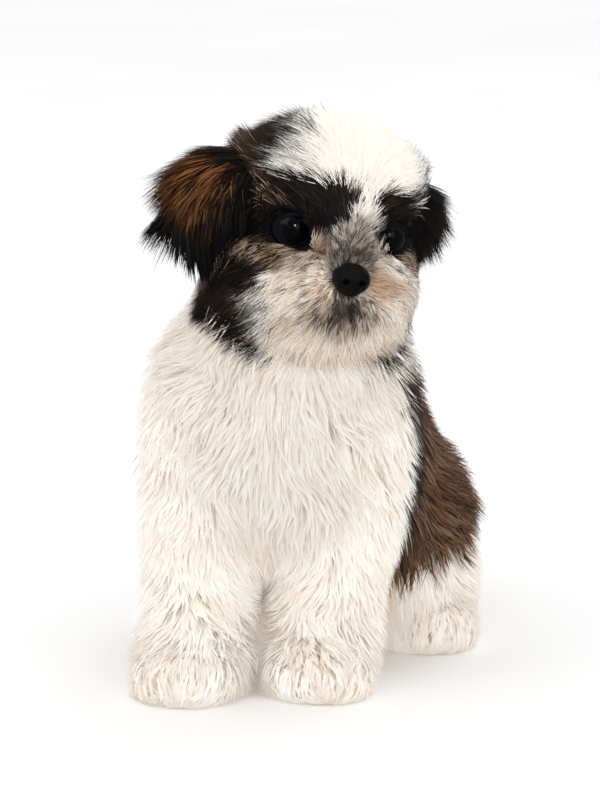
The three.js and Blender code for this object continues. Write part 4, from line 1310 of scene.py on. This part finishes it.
# How dark and how light single strands are on the body and on the ears
COAT_TONES = (0.92, 1.04)
EAR_TONES = (0.8, 1.15)
# How far strands stray past their roots, each of their places on its own
WANDER = 0.25


# The middle of the head's unwrap in its own frame, and the places between fore and hind legs and between
# the left and right legs of each pair
HEAD_UNWRAP = (0, 0, -8)
FORE_TO_HIND = 55
BETWEEN_HIND = 19
BETWEEN_FORE = 1


def unwrap_of(points, name):
    """A place from 0 to 1 each way on an unwrap of the part round its own middle line."""
    if name in ("coat_face", "coat_brows", "coat_crown", "coat_cheeks"):
        q = in_head(points) - HEAD_UNWRAP
        u, v = np.arctan2(q[:, 0], -q[:, 1]), unit(q)[:, 2]
    elif name in ("coat_forelegs", "coat_hindlegs", "coat_paws"):
        side = points[:, 0] > np.where(points[:, 1] > FORE_TO_HIND, BETWEEN_HIND, BETWEEN_FORE)
        middle = np.stack([points[side].mean(0), points[~side].mean(0)])[(~side).astype(int)]
        q = points - middle
        u = np.arctan2(q[:, 0], -q[:, 1]) + np.where(side, 2 * np.pi, 0)
        v = points[:, 2] + 0.3 * points[:, 1]
    elif name == "coat_tail":
        q = points - points.mean(0)
        u, v = np.arctan2(q[:, 2], q[:, 1]), points[:, 0]
    else:
        q = points - points.mean(0)
        u, v = np.arctan2(q[:, 0], -q[:, 1]), q[:, 2]
    place = np.c_[u, v]
    low, high = place.min(0), place.max(0)
    return 0.01 + 0.98 * (place - low) / (high - low)


def paths_from(roots, ways, coat, under, rng, scale):
    """Each strand's places from root to tip, and the way up at each; under strands stay low."""
    field = fields()["full"]
    steps = coat["steps"]
    length, rise = coat["growth"](roots)
    length = length * (rng.uniform(*STRAND_SIZES, len(roots)) * scale)
    chance = rng.uniform(0, 1, len(roots))
    low, high = (start + more * chance for start, more in (UNDER_HEIGHT, TOP_HEIGHT))
    rise = rise * np.where(under, low, high) * scale
    start = field.at(roots)
    p = roots.copy()
    path, ups = [roots - ROOT_DEPTH * ways], [ways]
    turn_aside = rng.normal(0, TURN_ASIDE, len(roots))
    for k in range(1, steps + 1):
        s = k / steps
        up = field.up(p)
        way = coat["lie"](p)
        way = unit(way - (way * up).sum(1, keepdims=True) * up)
        tousled = coat["tousle"] * (ripple(p, BROAD_WAVES, 5.0) + 0.5 * ripple(p, FINE_WAVES, 9.0))
        way = unit(way + np.cross(way, up) * (turn_aside * (0.5 + s) + tousled)[:, None])
        p = p + way * (length / steps)[:, None]
        level = start + (rise - start) * s**RISE_POWER
        for _ in range(2):
            up = field.up(p)
            p = p + up * (level - field.at(p))[:, None]
        p[:, 2] = np.maximum(p[:, 2], FLOOR_CLEAR + 0.3)
        path.append(p)
        ups.append(up)
    return np.stack(path, axis=1), np.stack(ups, axis=1)


def clumped(path, roots, share, rng):
    """Strands drawn towards a few leading ones, more so at their tips."""
    leaders = rng.choice(len(roots), max(len(roots) // CLUMP_OF, 1), replace=False)
    nearest = np.empty(len(roots), int)
    for part in np.array_split(np.arange(len(roots)), max(len(roots) // AT_ONCE, 1)):
        apart = ((roots[part][:, None] - roots[leaders][None]) ** 2).sum(2)
        nearest[part] = leaders[apart.argmin(axis=1)]
    s = np.linspace(0, 1, path.shape[1])
    weight = (share * s**CLUMP_POWER)[None, :, None] * rng.uniform(*CLUMP_SPREAD, (len(roots), 1, 1))
    return path + (path[nearest] - path) * np.clip(weight, 0, CLUMP_MOST), nearest


# The third side of a strand is its underside
UNDERSIDE = (1, 1, -1)
# How high a strand is as a share of its half width
STRAND_HEIGHT = 0.6


def strand_mesh(path, ups, widths):
    """Corners, faces and shading ways of closed three-sided strands that end in points."""
    count, rings = path.shape[0], path.shape[1] - 1
    along = unit(np.gradient(path, axis=1))
    side = unit(np.cross(along, ups))
    over = unit(np.cross(side, along))
    s = np.linspace(0, 1, rings + 1)[:-1]
    taper = (1 - s) ** 0.5 * (0.7 + 0.6 * s)
    half = widths[:, None] * taper[None] / 2
    p, across = path[:, :-1], side[:, :-1] * half[..., None]
    lift = over[:, :-1] * half[..., None] * STRAND_HEIGHT
    corners = np.stack([p - across, p + lift, p + across], axis=2)
    middle = ups[:, :-1] * SOFTNESS + over[:, :-1] * (1 - SOFTNESS)
    lean = side[:, :-1] * ROUNDNESS
    normals = np.stack([middle - lean, middle, middle + lean], axis=2)
    points = np.concatenate([corners.reshape(count, -1, 3), path[:, -1:]], axis=1)
    shading = np.concatenate([normals.reshape(count, -1, 3), ups[:, -1:]], axis=1)
    faces, turned = [(0, 2, 1)], [-1]
    for ring in range(rings - 1):
        for k in range(3):
            a, b = ring * 3 + k, ring * 3 + (k + 1) % 3
            faces += [(a, b + 3, a + 3), (a, b, b + 3)]
            turned += [UNDERSIDE[k], UNDERSIDE[k]]
    tip = rings * 3
    for k in range(3):
        faces.append(((rings - 1) * 3 + k, (rings - 1) * 3 + (k + 1) % 3, tip))
        turned.append(UNDERSIDE[k])
    each = points.shape[1]
    # The underside of a strand is shaded the other way round
    shading = unit(shading)[:, np.array(faces)] * np.array(turned)[None, :, None, None]
    faces = np.array(faces)[None] + (np.arange(count) * each)[:, None, None]
    return points.reshape(-1, 3), faces.reshape(-1, 3), shading.reshape(-1, 3)


# How wide the coat leaves the eyes open, above and below, how much less on the left, and their balls
EYE_OPEN = (5.4, 6.5)
LEFT_LESS = 1.2
BALL_CLEAR = 9.2
# Hair counts as above an eye from this height over its middle, and as before it from this far ahead
ABOVE_EYE = 3.5
BEFORE_EYE = 2
# How far it stays from the middle of the nose leather each way
NOSE_CLEAR = (7.2, 6.5, 6.6)


def clear_of_face(path):
    """Whether each strand leaves the eyes and the nose leather free."""
    free = np.ones(len(path), bool)
    for side in (1, -1):
        q = path - eye_at(side)
        ahead = q @ gaze(side)
        aside = np.linalg.norm(q - ahead[..., None] * gaze(side), axis=2)
        above = (q @ HEAD_TURN)[..., 2] > ABOVE_EYE
        width = np.where(above, *EYE_OPEN) - (LEFT_LESS if side > 0 else 0)
        free &= ~((ahead > BEFORE_EYE) & (aside < width)).any(axis=1)
        free &= ~(np.linalg.norm(q, axis=2) < BALL_CLEAR).any(axis=1)
    q = (path @ HEAD_TURN - NOSE_AT @ HEAD_TURN) / NOSE_CLEAR
    return free & ~(np.linalg.norm(q[:, 1:], axis=2) < 1.0).any(axis=1)


def clear_of_jaw(path):
    """Whether each strand stays off the jaw."""
    from_jaw = PART_FORMS["jaw"](path[:, 1:].reshape(-1, 3)).reshape(len(path), -1).min(axis=1)
    return (from_jaw > JAW_CLEAR) & (np.linalg.norm(path[:, 1] - path[:, 0], axis=1) < FIRST_STEP)


def coat_piece(name, slot, path, ups, widths, colours, places):
    """One mesh of strands, with its colours, shading and bake map."""
    points, faces, shading = strand_mesh(path, ups, widths)
    piece = mesh_object(name, points, faces)
    root, tip = colours
    rings = path.shape[1] - 1
    s = np.append(np.repeat(np.linspace(0, 1, rings + 1)[:-1], 3), 1.0)
    shade = root[:, None] + (tip - root)[:, None] * blend_step(s, *COLOUR_TURN)[None, :, None]
    give_colours(piece.data, "coat_colour", np.clip(shade, 0, 1).reshape(-1, 3))
    corner = np.append(np.tile([-0.5, 0.0, 0.5], rings), 0.0)
    patch = places[:, None] + np.stack([corner, s - 0.5], axis=-1)[None] * PATCH
    loops = piece.data.uv_layers.new(name="OFBake")
    loops.data.foreach_set("uv", patch.reshape(-1, 2)[faces.ravel()].astype(np.float32).ravel())
    piece.data.normals_split_custom_set(shading.astype(np.float32))
    dark = (tip.mean(axis=1) < PALE).astype(np.int32)
    piece = finished(piece, slot, coat_material("Light coat"))
    piece.data.materials.append(coat_material("Dark coat"))
    piece.data.polygons.foreach_set("material_index", np.repeat(dark, len(faces) // len(path)))
    return piece


def skin_faces():
    """Corners, ways out, areas and zones of the skin's faces."""
    points, quads = BODY_FIELD["skin"]
    corner = points[quads]
    cross = np.cross(corner[:, 2] - corner[:, 0], corner[:, 3] - corner[:, 1])
    middles = corner.mean(axis=1)
    areas = np.linalg.norm(cross, axis=1) / 2
    zones = zone_of(middles, part_of(middles))
    return {"corners": corner, "ways": unit(cross), "areas": areas, "zones": zones}


def roots_on_skin(name, count, rng):
    """Places spread evenly over one zone of the skin, off the floor, and the ways out of the skin there."""
    if "faces" not in BODY_FIELD:
        BODY_FIELD["faces"] = skin_faces()
    faces = BODY_FIELD["faces"]
    here = np.flatnonzero(faces["zones"] == name)
    area = np.cumsum(faces["areas"][here])
    spread = (np.arange(count) + rng.random(count)) / count * area[-1]
    pick = here[np.searchsorted(area, spread).clip(0, len(here) - 1)]
    a, b = rng.random((2, count, 1))
    corner = faces["corners"][pick]
    near, far = corner[:, 0] * (1 - a) + corner[:, 1] * a, corner[:, 3] * (1 - a) + corner[:, 2] * a
    roots = near * (1 - b) + far * b
    off_floor = roots[:, 2] > FLOOR_CLEAR + 1.5
    return roots[off_floor], faces["ways"][pick][off_floor]


def tones_of(leader, rng):
    """A number from -1 to 1 for each strand, which many share with their clump: it picks their colours."""
    own, of_clump = rng.uniform(-1, 1, (2, len(leader)))
    return np.where(rng.random(len(leader)) < CLUMP_TONE, of_clump[leader], own)


def grow_coat(name, slot, scene):
    """Grows one zone's coat on the skin."""
    coat = COATS[name]
    sizes, ink = scene.puppy_sizes, colours_of(scene)
    rng = np.random.default_rng(sizes.seed + len(name) * 101 + sum(name.encode()))
    roots, ways = roots_on_skin(name, int(coat["count"] * sizes.fullness), rng)
    under = rng.random(len(roots)) < UNDER_SHARE
    path, ups = paths_from(roots, ways, coat, under, rng, sizes.coat_length)
    path, leader = clumped(path, roots, coat["clump"], rng)
    path[:, 2:] += rng.normal(0, WANDER, path[:, 2:].shape)
    path[:, :, 2] = np.maximum(path[:, :, 2], FLOOR_CLEAR)
    keep = clear_of_face(path)
    if name in ("coat_neck", "coat_chest"):
        keep &= clear_of_jaw(path)
    stray = tones_of(leader, rng)[keep]
    path, ups, roots, under = path[keep], ups[keep], roots[keep], under[keep]
    root, tip = markings(roots, part_of(roots), ink, stray)
    tone = rng.uniform(*COAT_TONES, (len(roots), 1))
    width = coat["width"] * rng.uniform(*STRAND_WIDTHS, len(roots)) * np.where(under, coat["under"], 1.0)
    width *= sizes.strand_width / STRAND_WIDTH
    return coat_piece(name, slot, path, ups, width, (root * tone, tip * tone), unwrap_of(roots, name))


# The ears' hair: its lengths, how far its tips stand off, how much of it is on the outer face, and its roots
EAR_HAIR_LENGTHS = (16, 27)
EAR_HAIR_RISES = (1.0, 6)
EAR_OUTER_SHARE = 0.72
EAR_ROOT_HEIGHT = 1.2
EAR_ROOT_DEPTH = 0.8
# How far apart places on the flap are read for the way off it, and how much the hair droops by its tips
FLAP_STEP = 0.08
EAR_DROOP = 0.12


def off_ear(ear, s, w, face):
    """Places of roots on both faces of an ear's flap, and the ways off it there."""
    depth = face * EAR_ROOT_HEIGHT
    roots = ear_point(ear, s, w, depth)
    ahead = unit(ear_point(ear, s + FLAP_STEP, w, depth) - roots)
    aside = unit(ear_point(ear, s, w + FLAP_STEP, depth) - roots)
    up = unit(np.cross(ahead, aside))
    up *= np.sign((up * (np.sign(ear["root"][0]), 0, 0.5)).sum(1, keepdims=True))
    return roots, up * face[:, None]


def ear_hair_length(s, w, rng):
    """Lengths of an ear's hair: longer at its outer edge and at the front of its tip."""
    length = rng.uniform(*EAR_HAIR_LENGTHS, len(s)) * (1.1 - 0.25 * s - 0.3 * s * w)
    length += 7 * blend_step(w, 0.3, 0.8) * band(s, 0.1, 0.3, 0.45, 0.65)
    return length + 5 * blend_step(s, 0.5, 0.75) * (1 - blend_step(w, 0.1, 0.5))


def ear_hair_way(side_out, s, w, up, rng):
    """Hair of the outer edge fans out sideways, and hair of the front edge and the tip hangs down."""
    fan = np.clip(0.45 + 0.5 * w - 1.1 * (s - 0.3) + rng.normal(0, 0.12, len(s)), 0, 1)[:, None]
    lifted = 0.5 * (1 - blend_step(s, 0.02, 0.16))[:, None] * (0, 0, 1)
    inwards = 0.3 + 0.4 * blend_step(-w, 0, 0.5) * blend_step(s, 0.4, 0.7)
    hanging = np.c_[-side_out * inwards, np.zeros(len(s)), -np.ones(len(s))]
    way = fan * (side_out, 0, -0.3) + (1 - fan) * hanging + lifted
    return unit(way - 0.85 * (way * up).sum(1, keepdims=True) * up)


def grow_ear(name, scene):
    """Grows the coat on both faces of an ear's flap."""
    ear, sizes, ink = EARS[name], scene.puppy_sizes, colours_of(scene)
    rng = np.random.default_rng(sizes.seed + sum(name.encode()))
    count, steps = int(EAR_COAT["count"] * sizes.fullness), EAR_COAT["steps"]
    s, w = rng.uniform(-0.02, 0.95, count), rng.uniform(EAR_FRONT, 0.95, count)
    face = np.where(rng.random(count) < EAR_OUTER_SHARE, 1.0, -1.0)
    roots, up = off_ear(ear, s, w, face)
    length = ear_hair_length(s, w, rng) * sizes.coat_length
    rise = rng.uniform(*EAR_HAIR_RISES, count)
    way = ear_hair_way(np.sign(ear["root"][0]), s, w, up, rng)
    p, path, ups = roots.copy(), [roots - up * EAR_ROOT_DEPTH], [up]
    for k in range(1, steps + 1):
        way = unit(way + (0, 0, -EAR_DROOP * k / steps))
        p = p + way * (length / steps)[:, None] + up * (rise / steps)[:, None]
        path.append(p)
        ups.append(up)
    path, ups = on_head(np.stack(path, axis=1)), np.stack(ups, axis=1) @ HEAD_TURN.T
    path, leader = clumped(path, path[:, 0], EAR_COAT["clump"], rng)
    root, tip = ear_markings(s, w, ink, tones_of(leader, rng), ear["tan"])
    tone = rng.uniform(*EAR_TONES, (count, 1))
    width = EAR_COAT["width"] * rng.uniform(*STRAND_WIDTHS, count) * sizes.strand_width / STRAND_WIDTH
    # The two faces of the flap lie side by side on the bake map
    places = 0.01 + 0.98 * np.c_[(s + 0.02) * 0.49 + np.where(face > 0, 0, 0.5), (w + 0.95) / 1.9]
    return coat_piece("coat_" + name, "fur_dark", path, ups, width, (root * tone, tip * tone), places)


# The skin is black this near to an eye's middle, and has its own colour from there on
EYE_RIM = (9.6, 11.5)


class PUPPY_OT_skin(bpy.types.Operator):
    """Make the one skin of head, trunk, legs, ears and tail"""

    bl_idname = "puppy.skin"
    bl_label = "Skin"

    def execute(self, context):
        step = context.scene.puppy_sizes.skin_step * 1000
        grid = Grid(whole_skin, step, fields()["coarse"])
        points, quads = surface_of(grid.values, LOW, step)
        BODY_FIELD["skin"] = points, quads
        piece = mesh_object("skin", points, quads)
        ink = colours_of(context.scene)
        parts = part_of(points)
        root, tip = markings(points, parts, ink, np.zeros(len(points)))
        # A little darker than the coat's roots, pinker where it is pale, and black round the eyes and mouth
        pale = blend_step(tip.mean(axis=1), 0.2, 0.6)
        colour = mixed(root * (0.7 + 0.25 * pale[:, None]), ink["bare"], 0.12 * pale)
        for side in (1, -1):
            near = 1 - blend_step(np.linalg.norm(points - eye_at(side), axis=1), *EYE_RIM)
            colour = mixed(colour, ink["black"], near)
        colour = mixed(colour, ink["black"], spot("lips", in_head(points), 0))
        give_colours(piece.data, "coat_colour", colour)
        finished(piece, "fur_white", skin_material(), *FLESH)
        return {"FINISHED"}


EYE_ROWS = 40
EYE_AROUND = 56
EYE_TURNS = np.arange(EYE_AROUND) / EYE_AROUND * 2 * np.pi
# How far the clear front of an eye bulges, and over which angle
BULGE = 0.55
BULGE_ANGLE = 0.62
# How far the lids open to the sides and up, in degrees, and the section of their rim: degrees and heights
LID_REACH = (50, 44)
LID_PROFILE = (
    (-2, 0.1),
    (-0.5, 0.45),
    (2.5, 0.65),
    (7, 0.55),
    (13, 0.2),
    (18, -0.8),
    (12, -1.4),
    (3, -0.8),
)


def eye_axes(side):
    """The ways across, up and ahead of an eye."""
    ahead = gaze(side)
    across = unit(np.cross(HEAD_TURN @ (0, 0, 1), ahead))
    return np.stack([across, np.cross(ahead, across), ahead])


def on_ball(angle, turned, radius):
    """Places at an angle from an eye's gaze and turned about it, in its own axes."""
    way = np.stack([np.sin(angle) * np.cos(turned), np.sin(angle) * np.sin(turned), np.cos(angle)], -1)
    return way * np.asarray(radius)[..., None]


def eyeball(radius):
    """Corners, in the eye's own axes, and faces of a ball that bulges in front."""
    angle, turned = np.meshgrid(np.linspace(0, np.pi, EYE_ROWS + 1)[1:-1], EYE_TURNS, indexing="ij")
    rings = on_ball(angle, turned, radius + BULGE * np.exp(-((angle / BULGE_ANGLE) ** 2)))
    points = np.vstack([rings.reshape(-1, 3), (0, 0, radius + BULGE), (0, 0, -radius)])
    faces = []
    for i in range(EYE_ROWS - 2):
        for k in range(EYE_AROUND):
            p, q = i * EYE_AROUND + k, i * EYE_AROUND + (k + 1) % EYE_AROUND
            faces += [(p, p + EYE_AROUND, q + EYE_AROUND), (p, q + EYE_AROUND, q)]
    front, rear, end = len(points) - 2, len(points) - 1, (EYE_ROWS - 2) * EYE_AROUND
    for k in range(EYE_AROUND):
        after = (k + 1) % EYE_AROUND
        faces += [(front, k, after), (end + k, rear, end + after)]
    return points, faces


def lid_ring(side, radius):
    """The rim of both lids round one eye: a closed ring that lies on the eyeball."""
    almond = 1 - 0.1 * np.sin(2 * EYE_TURNS) ** 2
    across, up = LID_REACH
    opening = np.hypot(across * np.cos(EYE_TURNS), up * np.sin(EYE_TURNS)) * almond
    rings = [on_ball(np.radians(opening + more), EYE_TURNS, radius + height) for more, height in LID_PROFILE]
    faces, rows = [], len(LID_PROFILE)
    for i in range(rows):
        for k in range(EYE_AROUND):
            a, b = i * EYE_AROUND + k, i * EYE_AROUND + (k + 1) % EYE_AROUND
            after = ((i + 1) % rows) * EYE_AROUND
            c, d = after + k, after + (k + 1) % EYE_AROUND
            faces += [(a, c, d), (a, d, b)]
    return eye_at(side) + np.vstack(rings) @ eye_axes(side), np.array(faces)


class PUPPY_OT_eyes(bpy.types.Operator):
    """Make the eyes and their lids"""

    bl_idname = "puppy.eyes"
    bl_label = "Eyes and lids"

    def execute(self, context):
        radius = context.scene.puppy_sizes.eye_radius * 1000
        colours = colours_of(context.scene)
        material = eye_material(colours)
        lid_material = leather_material("Lid skin", colours["black"], 0.5, 1500, 0.0002)
        lids = []
        points, faces = eyeball(radius)
        for side, name in ((1, "eye_left"), (-1, "eye_right")):
            piece = mesh_object(name + "_ball", eye_at(side) + points @ eye_axes(side), faces)
            from_gaze = np.arccos(np.clip(unit(points)[:, 2], -1, 1))
            give_values(piece.data, "from_pupil", from_gaze / np.pi * 2)
            finished(piece, "eye", material, name)
            lids.append(lid_ring(side, radius))
        finished(mesh_object("lids", *joined(lids)), "nose_leather", lid_material)
        return {"FINISHED"}


def nose_form(points):
    """The nose leather in its own frame: two wings, a rounded tip, nostrils and the groove between them."""
    made = blended(
        [
            ball((0, 0, 0.6), (6.6, 5.0, 5.2)),
            ball((4.3, 0.4, -1.2), (3.3, 4.3, 4.0)),
            ball((-4.3, 0.4, -1.2), (3.3, 4.3, 4.0)),
            ball((0, -0.6, -4.2), (4.4, 3.8, 3.3)),
        ],
        2.2,
    )(points)
    for side in (1, -1):
        hole = cone((side * 2.8, -6.2, -1.4), (side * 3.8, -1.6, -0.4), 1.45, 1.0)(points)
        slit = cone((side * 3.6, -5.4, -1.9), (side * 7.0, -2.6, -2.6), 0.7, 0.35)(points)
        made = -smooth_least(-made, np.minimum(hole, slit), 0.7)
    groove = cone((0, -5.9, -0.2), (0, -4.9, -6.4), 0.42, 0.5)(points)
    return -smooth_least(-made, groove, 0.5)


# The box that the nose leather is worked out in, and the size of its faces
NOSE_REACH = np.array([9.0, 8.0, 8.5])
NOSE_STEP = 0.35
# The rolls of the upper and lower lip: height, thickness, reach to each side, and rise in the middle
LIP_ROLLS = ((-27.2, 1.0, 15, 1.6), (-29.4, 0.9, 12, 0))
# The half width of that rise, and how far the lips fall to the sides
LIP_PEAK_WIDTH = 2.2
LIP_FALL = 0.006
# The groove under the nose: its ends and its thickness
PHILTRUM = (-20, -26, 0.5)


class PUPPY_OT_nose(bpy.types.Operator):
    """Make the nose leather and the lips"""

    bl_idname = "puppy.nose"
    bl_label = "Nose and lips"

    def execute(self, context):
        colours = colours_of(context.scene)
        shape = tuple((2 * NOSE_REACH / NOSE_STEP).astype(int) + 1)
        places = np.stack(np.meshgrid(*[np.arange(n) for n in shape], indexing="ij"), -1).reshape(-1, 3)
        values = nose_form(-NOSE_REACH + places * NOSE_STEP).reshape(shape)
        points, quads = surface_of(values, -NOSE_REACH, NOSE_STEP)
        piece = mesh_object("nose_leather", on_head(points + NOSE_PLACE), quads)
        material = leather_material("Nose leather", colours["nose"], 0.34, 1500, 0.00025)
        finished(piece, "nose_leather", material, "nose")
        self.lips(colours)
        return {"FINISHED"}

    def lips(self, colours):
        """Dark rolls along the line of the mouth, laid on the skin."""
        skin = blended([PART_FORMS["muzzle"], PART_FORMS["jaw"]], 4)
        parts = []
        for height, thick, reach, peak in LIP_ROLLS:
            x = np.linspace(-reach, reach, 41)
            z = height + peak * np.exp(-((x / LIP_PEAK_WIDTH) ** 2)) - LIP_FALL * x * x
            line = self.on_skin(skin, x, z)
            radii = thick * np.sqrt(np.maximum(1 - (x / reach) ** 4, 0.02))
            parts.append(swept(on_head(line), radii, 8))
        top, bottom, thick = PHILTRUM
        line = self.on_skin(skin, np.zeros(9), np.linspace(top, bottom, 9))
        parts.append(swept(on_head(line), np.full(9, thick), 6))
        points, faces = joined(parts)
        material = leather_material("Lip skin", colours["black"], 0.4, 1400, 0.0002)
        finished(mesh_object("lips", points, faces), "nose_leather", material)

    def on_skin(self, skin, x, z):
        """Where lines from the front at x and z meet the skin, in the head's frame."""
        near, far = np.full(len(x), -60.0), np.full(len(x), -10.0)
        for _ in range(24):
            middle = (near + far) / 2
            inside = skin(on_head(np.c_[x, middle, z])) < 0
            far, near = np.where(inside, middle, far), np.where(inside, near, middle)
        return np.c_[x, far + 0.2, z]


# A claw in its toe's frame: where it starts, how far its tip bends down, its half width, and its depth as a
# share of its width
CLAW_START = (0, -5.5, -0.5)
CLAW_BEND = (0, 0, -2.2)
CLAW_RADIUS = 1.5
CLAW_DEPTH = 1.25


class PUPPY_OT_claws(bpy.types.Operator):
    """Make the claws of all four paws"""

    bl_idname = "puppy.claws"
    bl_label = "Claws"

    def execute(self, context):
        colours = colours_of(context.scene)
        parts = []
        for (at, turned), _ in PAWS.values():
            for side in TOES:
                t = np.linspace(0, 1, 9)[:, None]
                line = toe_place(side) + CLAW_START + t * (side * 0.5, -7.0, -1.4) + (t * t) * CLAW_BEND
                line[:, 2] = np.maximum(line[:, 2], FLOOR_CLEAR + 0.7)
                radii = CLAW_RADIUS * np.sqrt(1 - 0.97 * t[:, 0])
                parts.append(swept(at + line @ turned.T, radii, 10, CLAW_DEPTH))
        points, faces = joined(parts)
        material, effect, shader = new_material("Claw horn", 0.3, Specular_IOR_Level=0.5)
        effect.inputs["Colour"].default_value = (*colours["claw"], 1)
        effect.inputs["Scale"].default_value = 700
        add_bump(material, effect, shader, 0.3, 0.0002)
        finished(mesh_object("claws", points, faces), "fur_white", material)
        return {"FINISHED"}


class PUPPY_OT_head_coat(bpy.types.Operator):
    """Grow the coat of the face, brows, crown, cheeks and ears"""

    bl_idname = "puppy.head_coat"
    bl_label = "Coat of the head"

    def execute(self, context):
        for part in ("face", "brows", "crown", "cheeks"):
            grow_coat("coat_" + part, "fur_head", context.scene)
        for name in EARS:
            grow_ear(name, context.scene)
        return {"FINISHED"}


class PUPPY_OT_body_coat(bpy.types.Operator):
    """Grow the coat of the neck, trunk, legs, paws and tail"""

    bl_idname = "puppy.body_coat"
    bl_label = "Coat of the body"

    def execute(self, context):
        for part in ("neck", "chest", "back", "forelegs", "hindlegs", "paws", "tail"):
            slot = "fur_brown" if part in ("back", "tail") else "fur_white"
            grow_coat("coat_" + part, slot, context.scene)
        return {"FINISHED"}


# The camera: the place in the puppy's frame that it looks at, its angles, its distance and its lens
CAMERA_TARGET = np.array([14.05, 22.8, 116.5])
CAMERA_AZIMUTH = 10
CAMERA_ELEVATION = 12
CAMERA_DISTANCE = 1300
CAMERA_LENS = 142.5
# Lamps: place from the camera's target, width and power. The catch lamp only shines in glossy surfaces
LAMPS = {
    "key": ((-0.9, -1.3, 1.4), 1.4, 3.9),
    "catch": ((1.0, -1.6, 0.75), 0.3, 6),
    "fill": ((1.3, -1.1, 0.5), 0.9, 1.3),
    "rim": ((0.5, 1.3, 1.2), 0.9, 3),
}
# The room's light, as the camera sees it and as glossy surfaces do
ROOM_LIGHT = (1.08, 0.15)
# The floor's tone, likewise
FLOOR_TONES = (0.98, 0.1)


def area_light(name, place, target, size, power):
    """A soft square lamp that looks at a point."""
    data = bpy.data.lights.new(name, "AREA")
    data.shape, data.size, data.energy = "SQUARE", size, power
    lamp = bpy.data.objects.new(name, data)
    bpy.context.scene.collection.objects.link(lamp)
    aim(lamp, place, target)
    return lamp


def aim(thing, place, target):
    """Puts a lamp or camera at a place so that it looks at a target."""
    thing.location = place
    thing.rotation_euler = (Vector(target) - Vector(place)).to_track_quat("-Z", "Y").to_euler()


class PUPPY_OT_stage(bpy.types.Operator):
    """Make the pale floor, the soft light and the camera"""

    bl_idname = "puppy.stage"
    bl_label = "Stage"

    def execute(self, context):
        scene = context.scene
        self.floor(scene.puppy_sizes.floor_size * 500)
        scene.world = self.room()
        target = placed(CAMERA_TARGET)
        for name, (place, size, power) in LAMPS.items():
            lamp = area_light(name, target + place, target, size, power)
            lamp.visible_diffuse = name != "catch"
        data = bpy.data.cameras.new("camera")
        data.lens, data.sensor_width = CAMERA_LENS, 36
        camera = bpy.data.objects.new("camera", data)
        scene.collection.objects.link(camera)
        azimuth, elevation = math.radians(CAMERA_AZIMUTH), math.radians(CAMERA_ELEVATION)
        flat = math.cos(elevation) * CAMERA_DISTANCE / 1000
        height = math.sin(elevation) * CAMERA_DISTANCE / 1000
        aim(camera, target + (math.sin(azimuth) * flat, -math.cos(azimuth) * flat, height), target)
        scene.camera = camera
        scene.view_settings.view_transform = "Standard"
        return {"FINISHED"}

    def floor(self, half):
        """A wide pale floor, which polished and wet surfaces see as dark."""
        corners = [(-half, -half, 0), (half, -half, 0), (half, half, 0), (-half, half, 0)]
        floor = mesh_object("floor", corners, [(0, 1, 2, 3)])
        material, effect, _ = new_material("Pale floor", 0.7)
        nodes, link = material.node_tree.nodes, material.node_tree.links.new
        seen_by = nodes.new("ShaderNodeLightPath")
        tone = mix_node(nodes)
        for socket, value in zip((MIX_A, MIX_B), FLOOR_TONES):
            tone.inputs[socket].default_value = (value, value, value, 1)
        link(seen_by.outputs["Is Glossy Ray"], tone.inputs["Factor"])
        link(tone.outputs[MIX_RESULT], effect.inputs["Colour"])
        effect.inputs["Amount"].default_value = 0.02
        effect.inputs["Scale"].default_value = 3
        floor.data.materials.append(material)

    def room(self):
        """A bright white room, which polished and wet surfaces see as darker, as behind a studio's lamps."""
        world = bpy.data.worlds.new("Studio")
        world.use_nodes = True
        nodes, link = world.node_tree.nodes, world.node_tree.links.new
        nodes["Background"].inputs["Color"].default_value = (1, 1, 1, 1)
        seen_by = nodes.new("ShaderNodeLightPath")
        dim = nodes.new("ShaderNodeMapRange")
        dim.inputs["To Min"].default_value, dim.inputs["To Max"].default_value = ROOM_LIGHT
        link(seen_by.outputs["Is Glossy Ray"], dim.inputs["Value"])
        link(dim.outputs["Result"], nodes["Background"].inputs["Strength"])
        return world


OPERATORS = (
    PUPPY_OT_skin,
    PUPPY_OT_eyes,
    PUPPY_OT_nose,
    PUPPY_OT_claws,
    PUPPY_OT_head_coat,
    PUPPY_OT_body_coat,
    PUPPY_OT_stage,
)


class PUPPY_PT_panel(bpy.types.Panel):
    """Lists the puppy's pieces, sizes and colours"""

    bl_label = "Puppy"
    bl_space_type = "VIEW_3D"
    bl_region_type = "UI"
    bl_category = "Puppy"

    def draw(self, context):
        for group in (context.scene.puppy_sizes, context.scene.puppy_colours):
            box = self.layout.box()
            for name in type(group).__annotations__:
                box.prop(group, name)
        for operator in OPERATORS:
            self.layout.operator(operator.bl_idname)


CLASSES = (PuppySizes, PuppyColours, *OPERATORS, PUPPY_PT_panel)


def register():
    """Registers the classes and adds the sizes and colours to the scene."""
    for cls in CLASSES:
        bpy.utils.register_class(cls)
    bpy.types.Scene.puppy_sizes = PointerProperty(type=PuppySizes)
    bpy.types.Scene.puppy_colours = PointerProperty(type=PuppyColours)


def unregister():
    """Takes them away again."""
    del bpy.types.Scene.puppy_sizes
    del bpy.types.Scene.puppy_colours
    for cls in reversed(CLASSES):
        bpy.utils.unregister_class(cls)


def main():
    """Makes every piece in order."""
    register()
    bpy.ops.puppy.skin()
    bpy.ops.puppy.eyes()
    bpy.ops.puppy.nose()
    bpy.ops.puppy.claws()
    bpy.ops.puppy.head_coat()
    bpy.ops.puppy.body_coat()
    bpy.ops.puppy.stage()


if __name__ == "__main__":
    main()
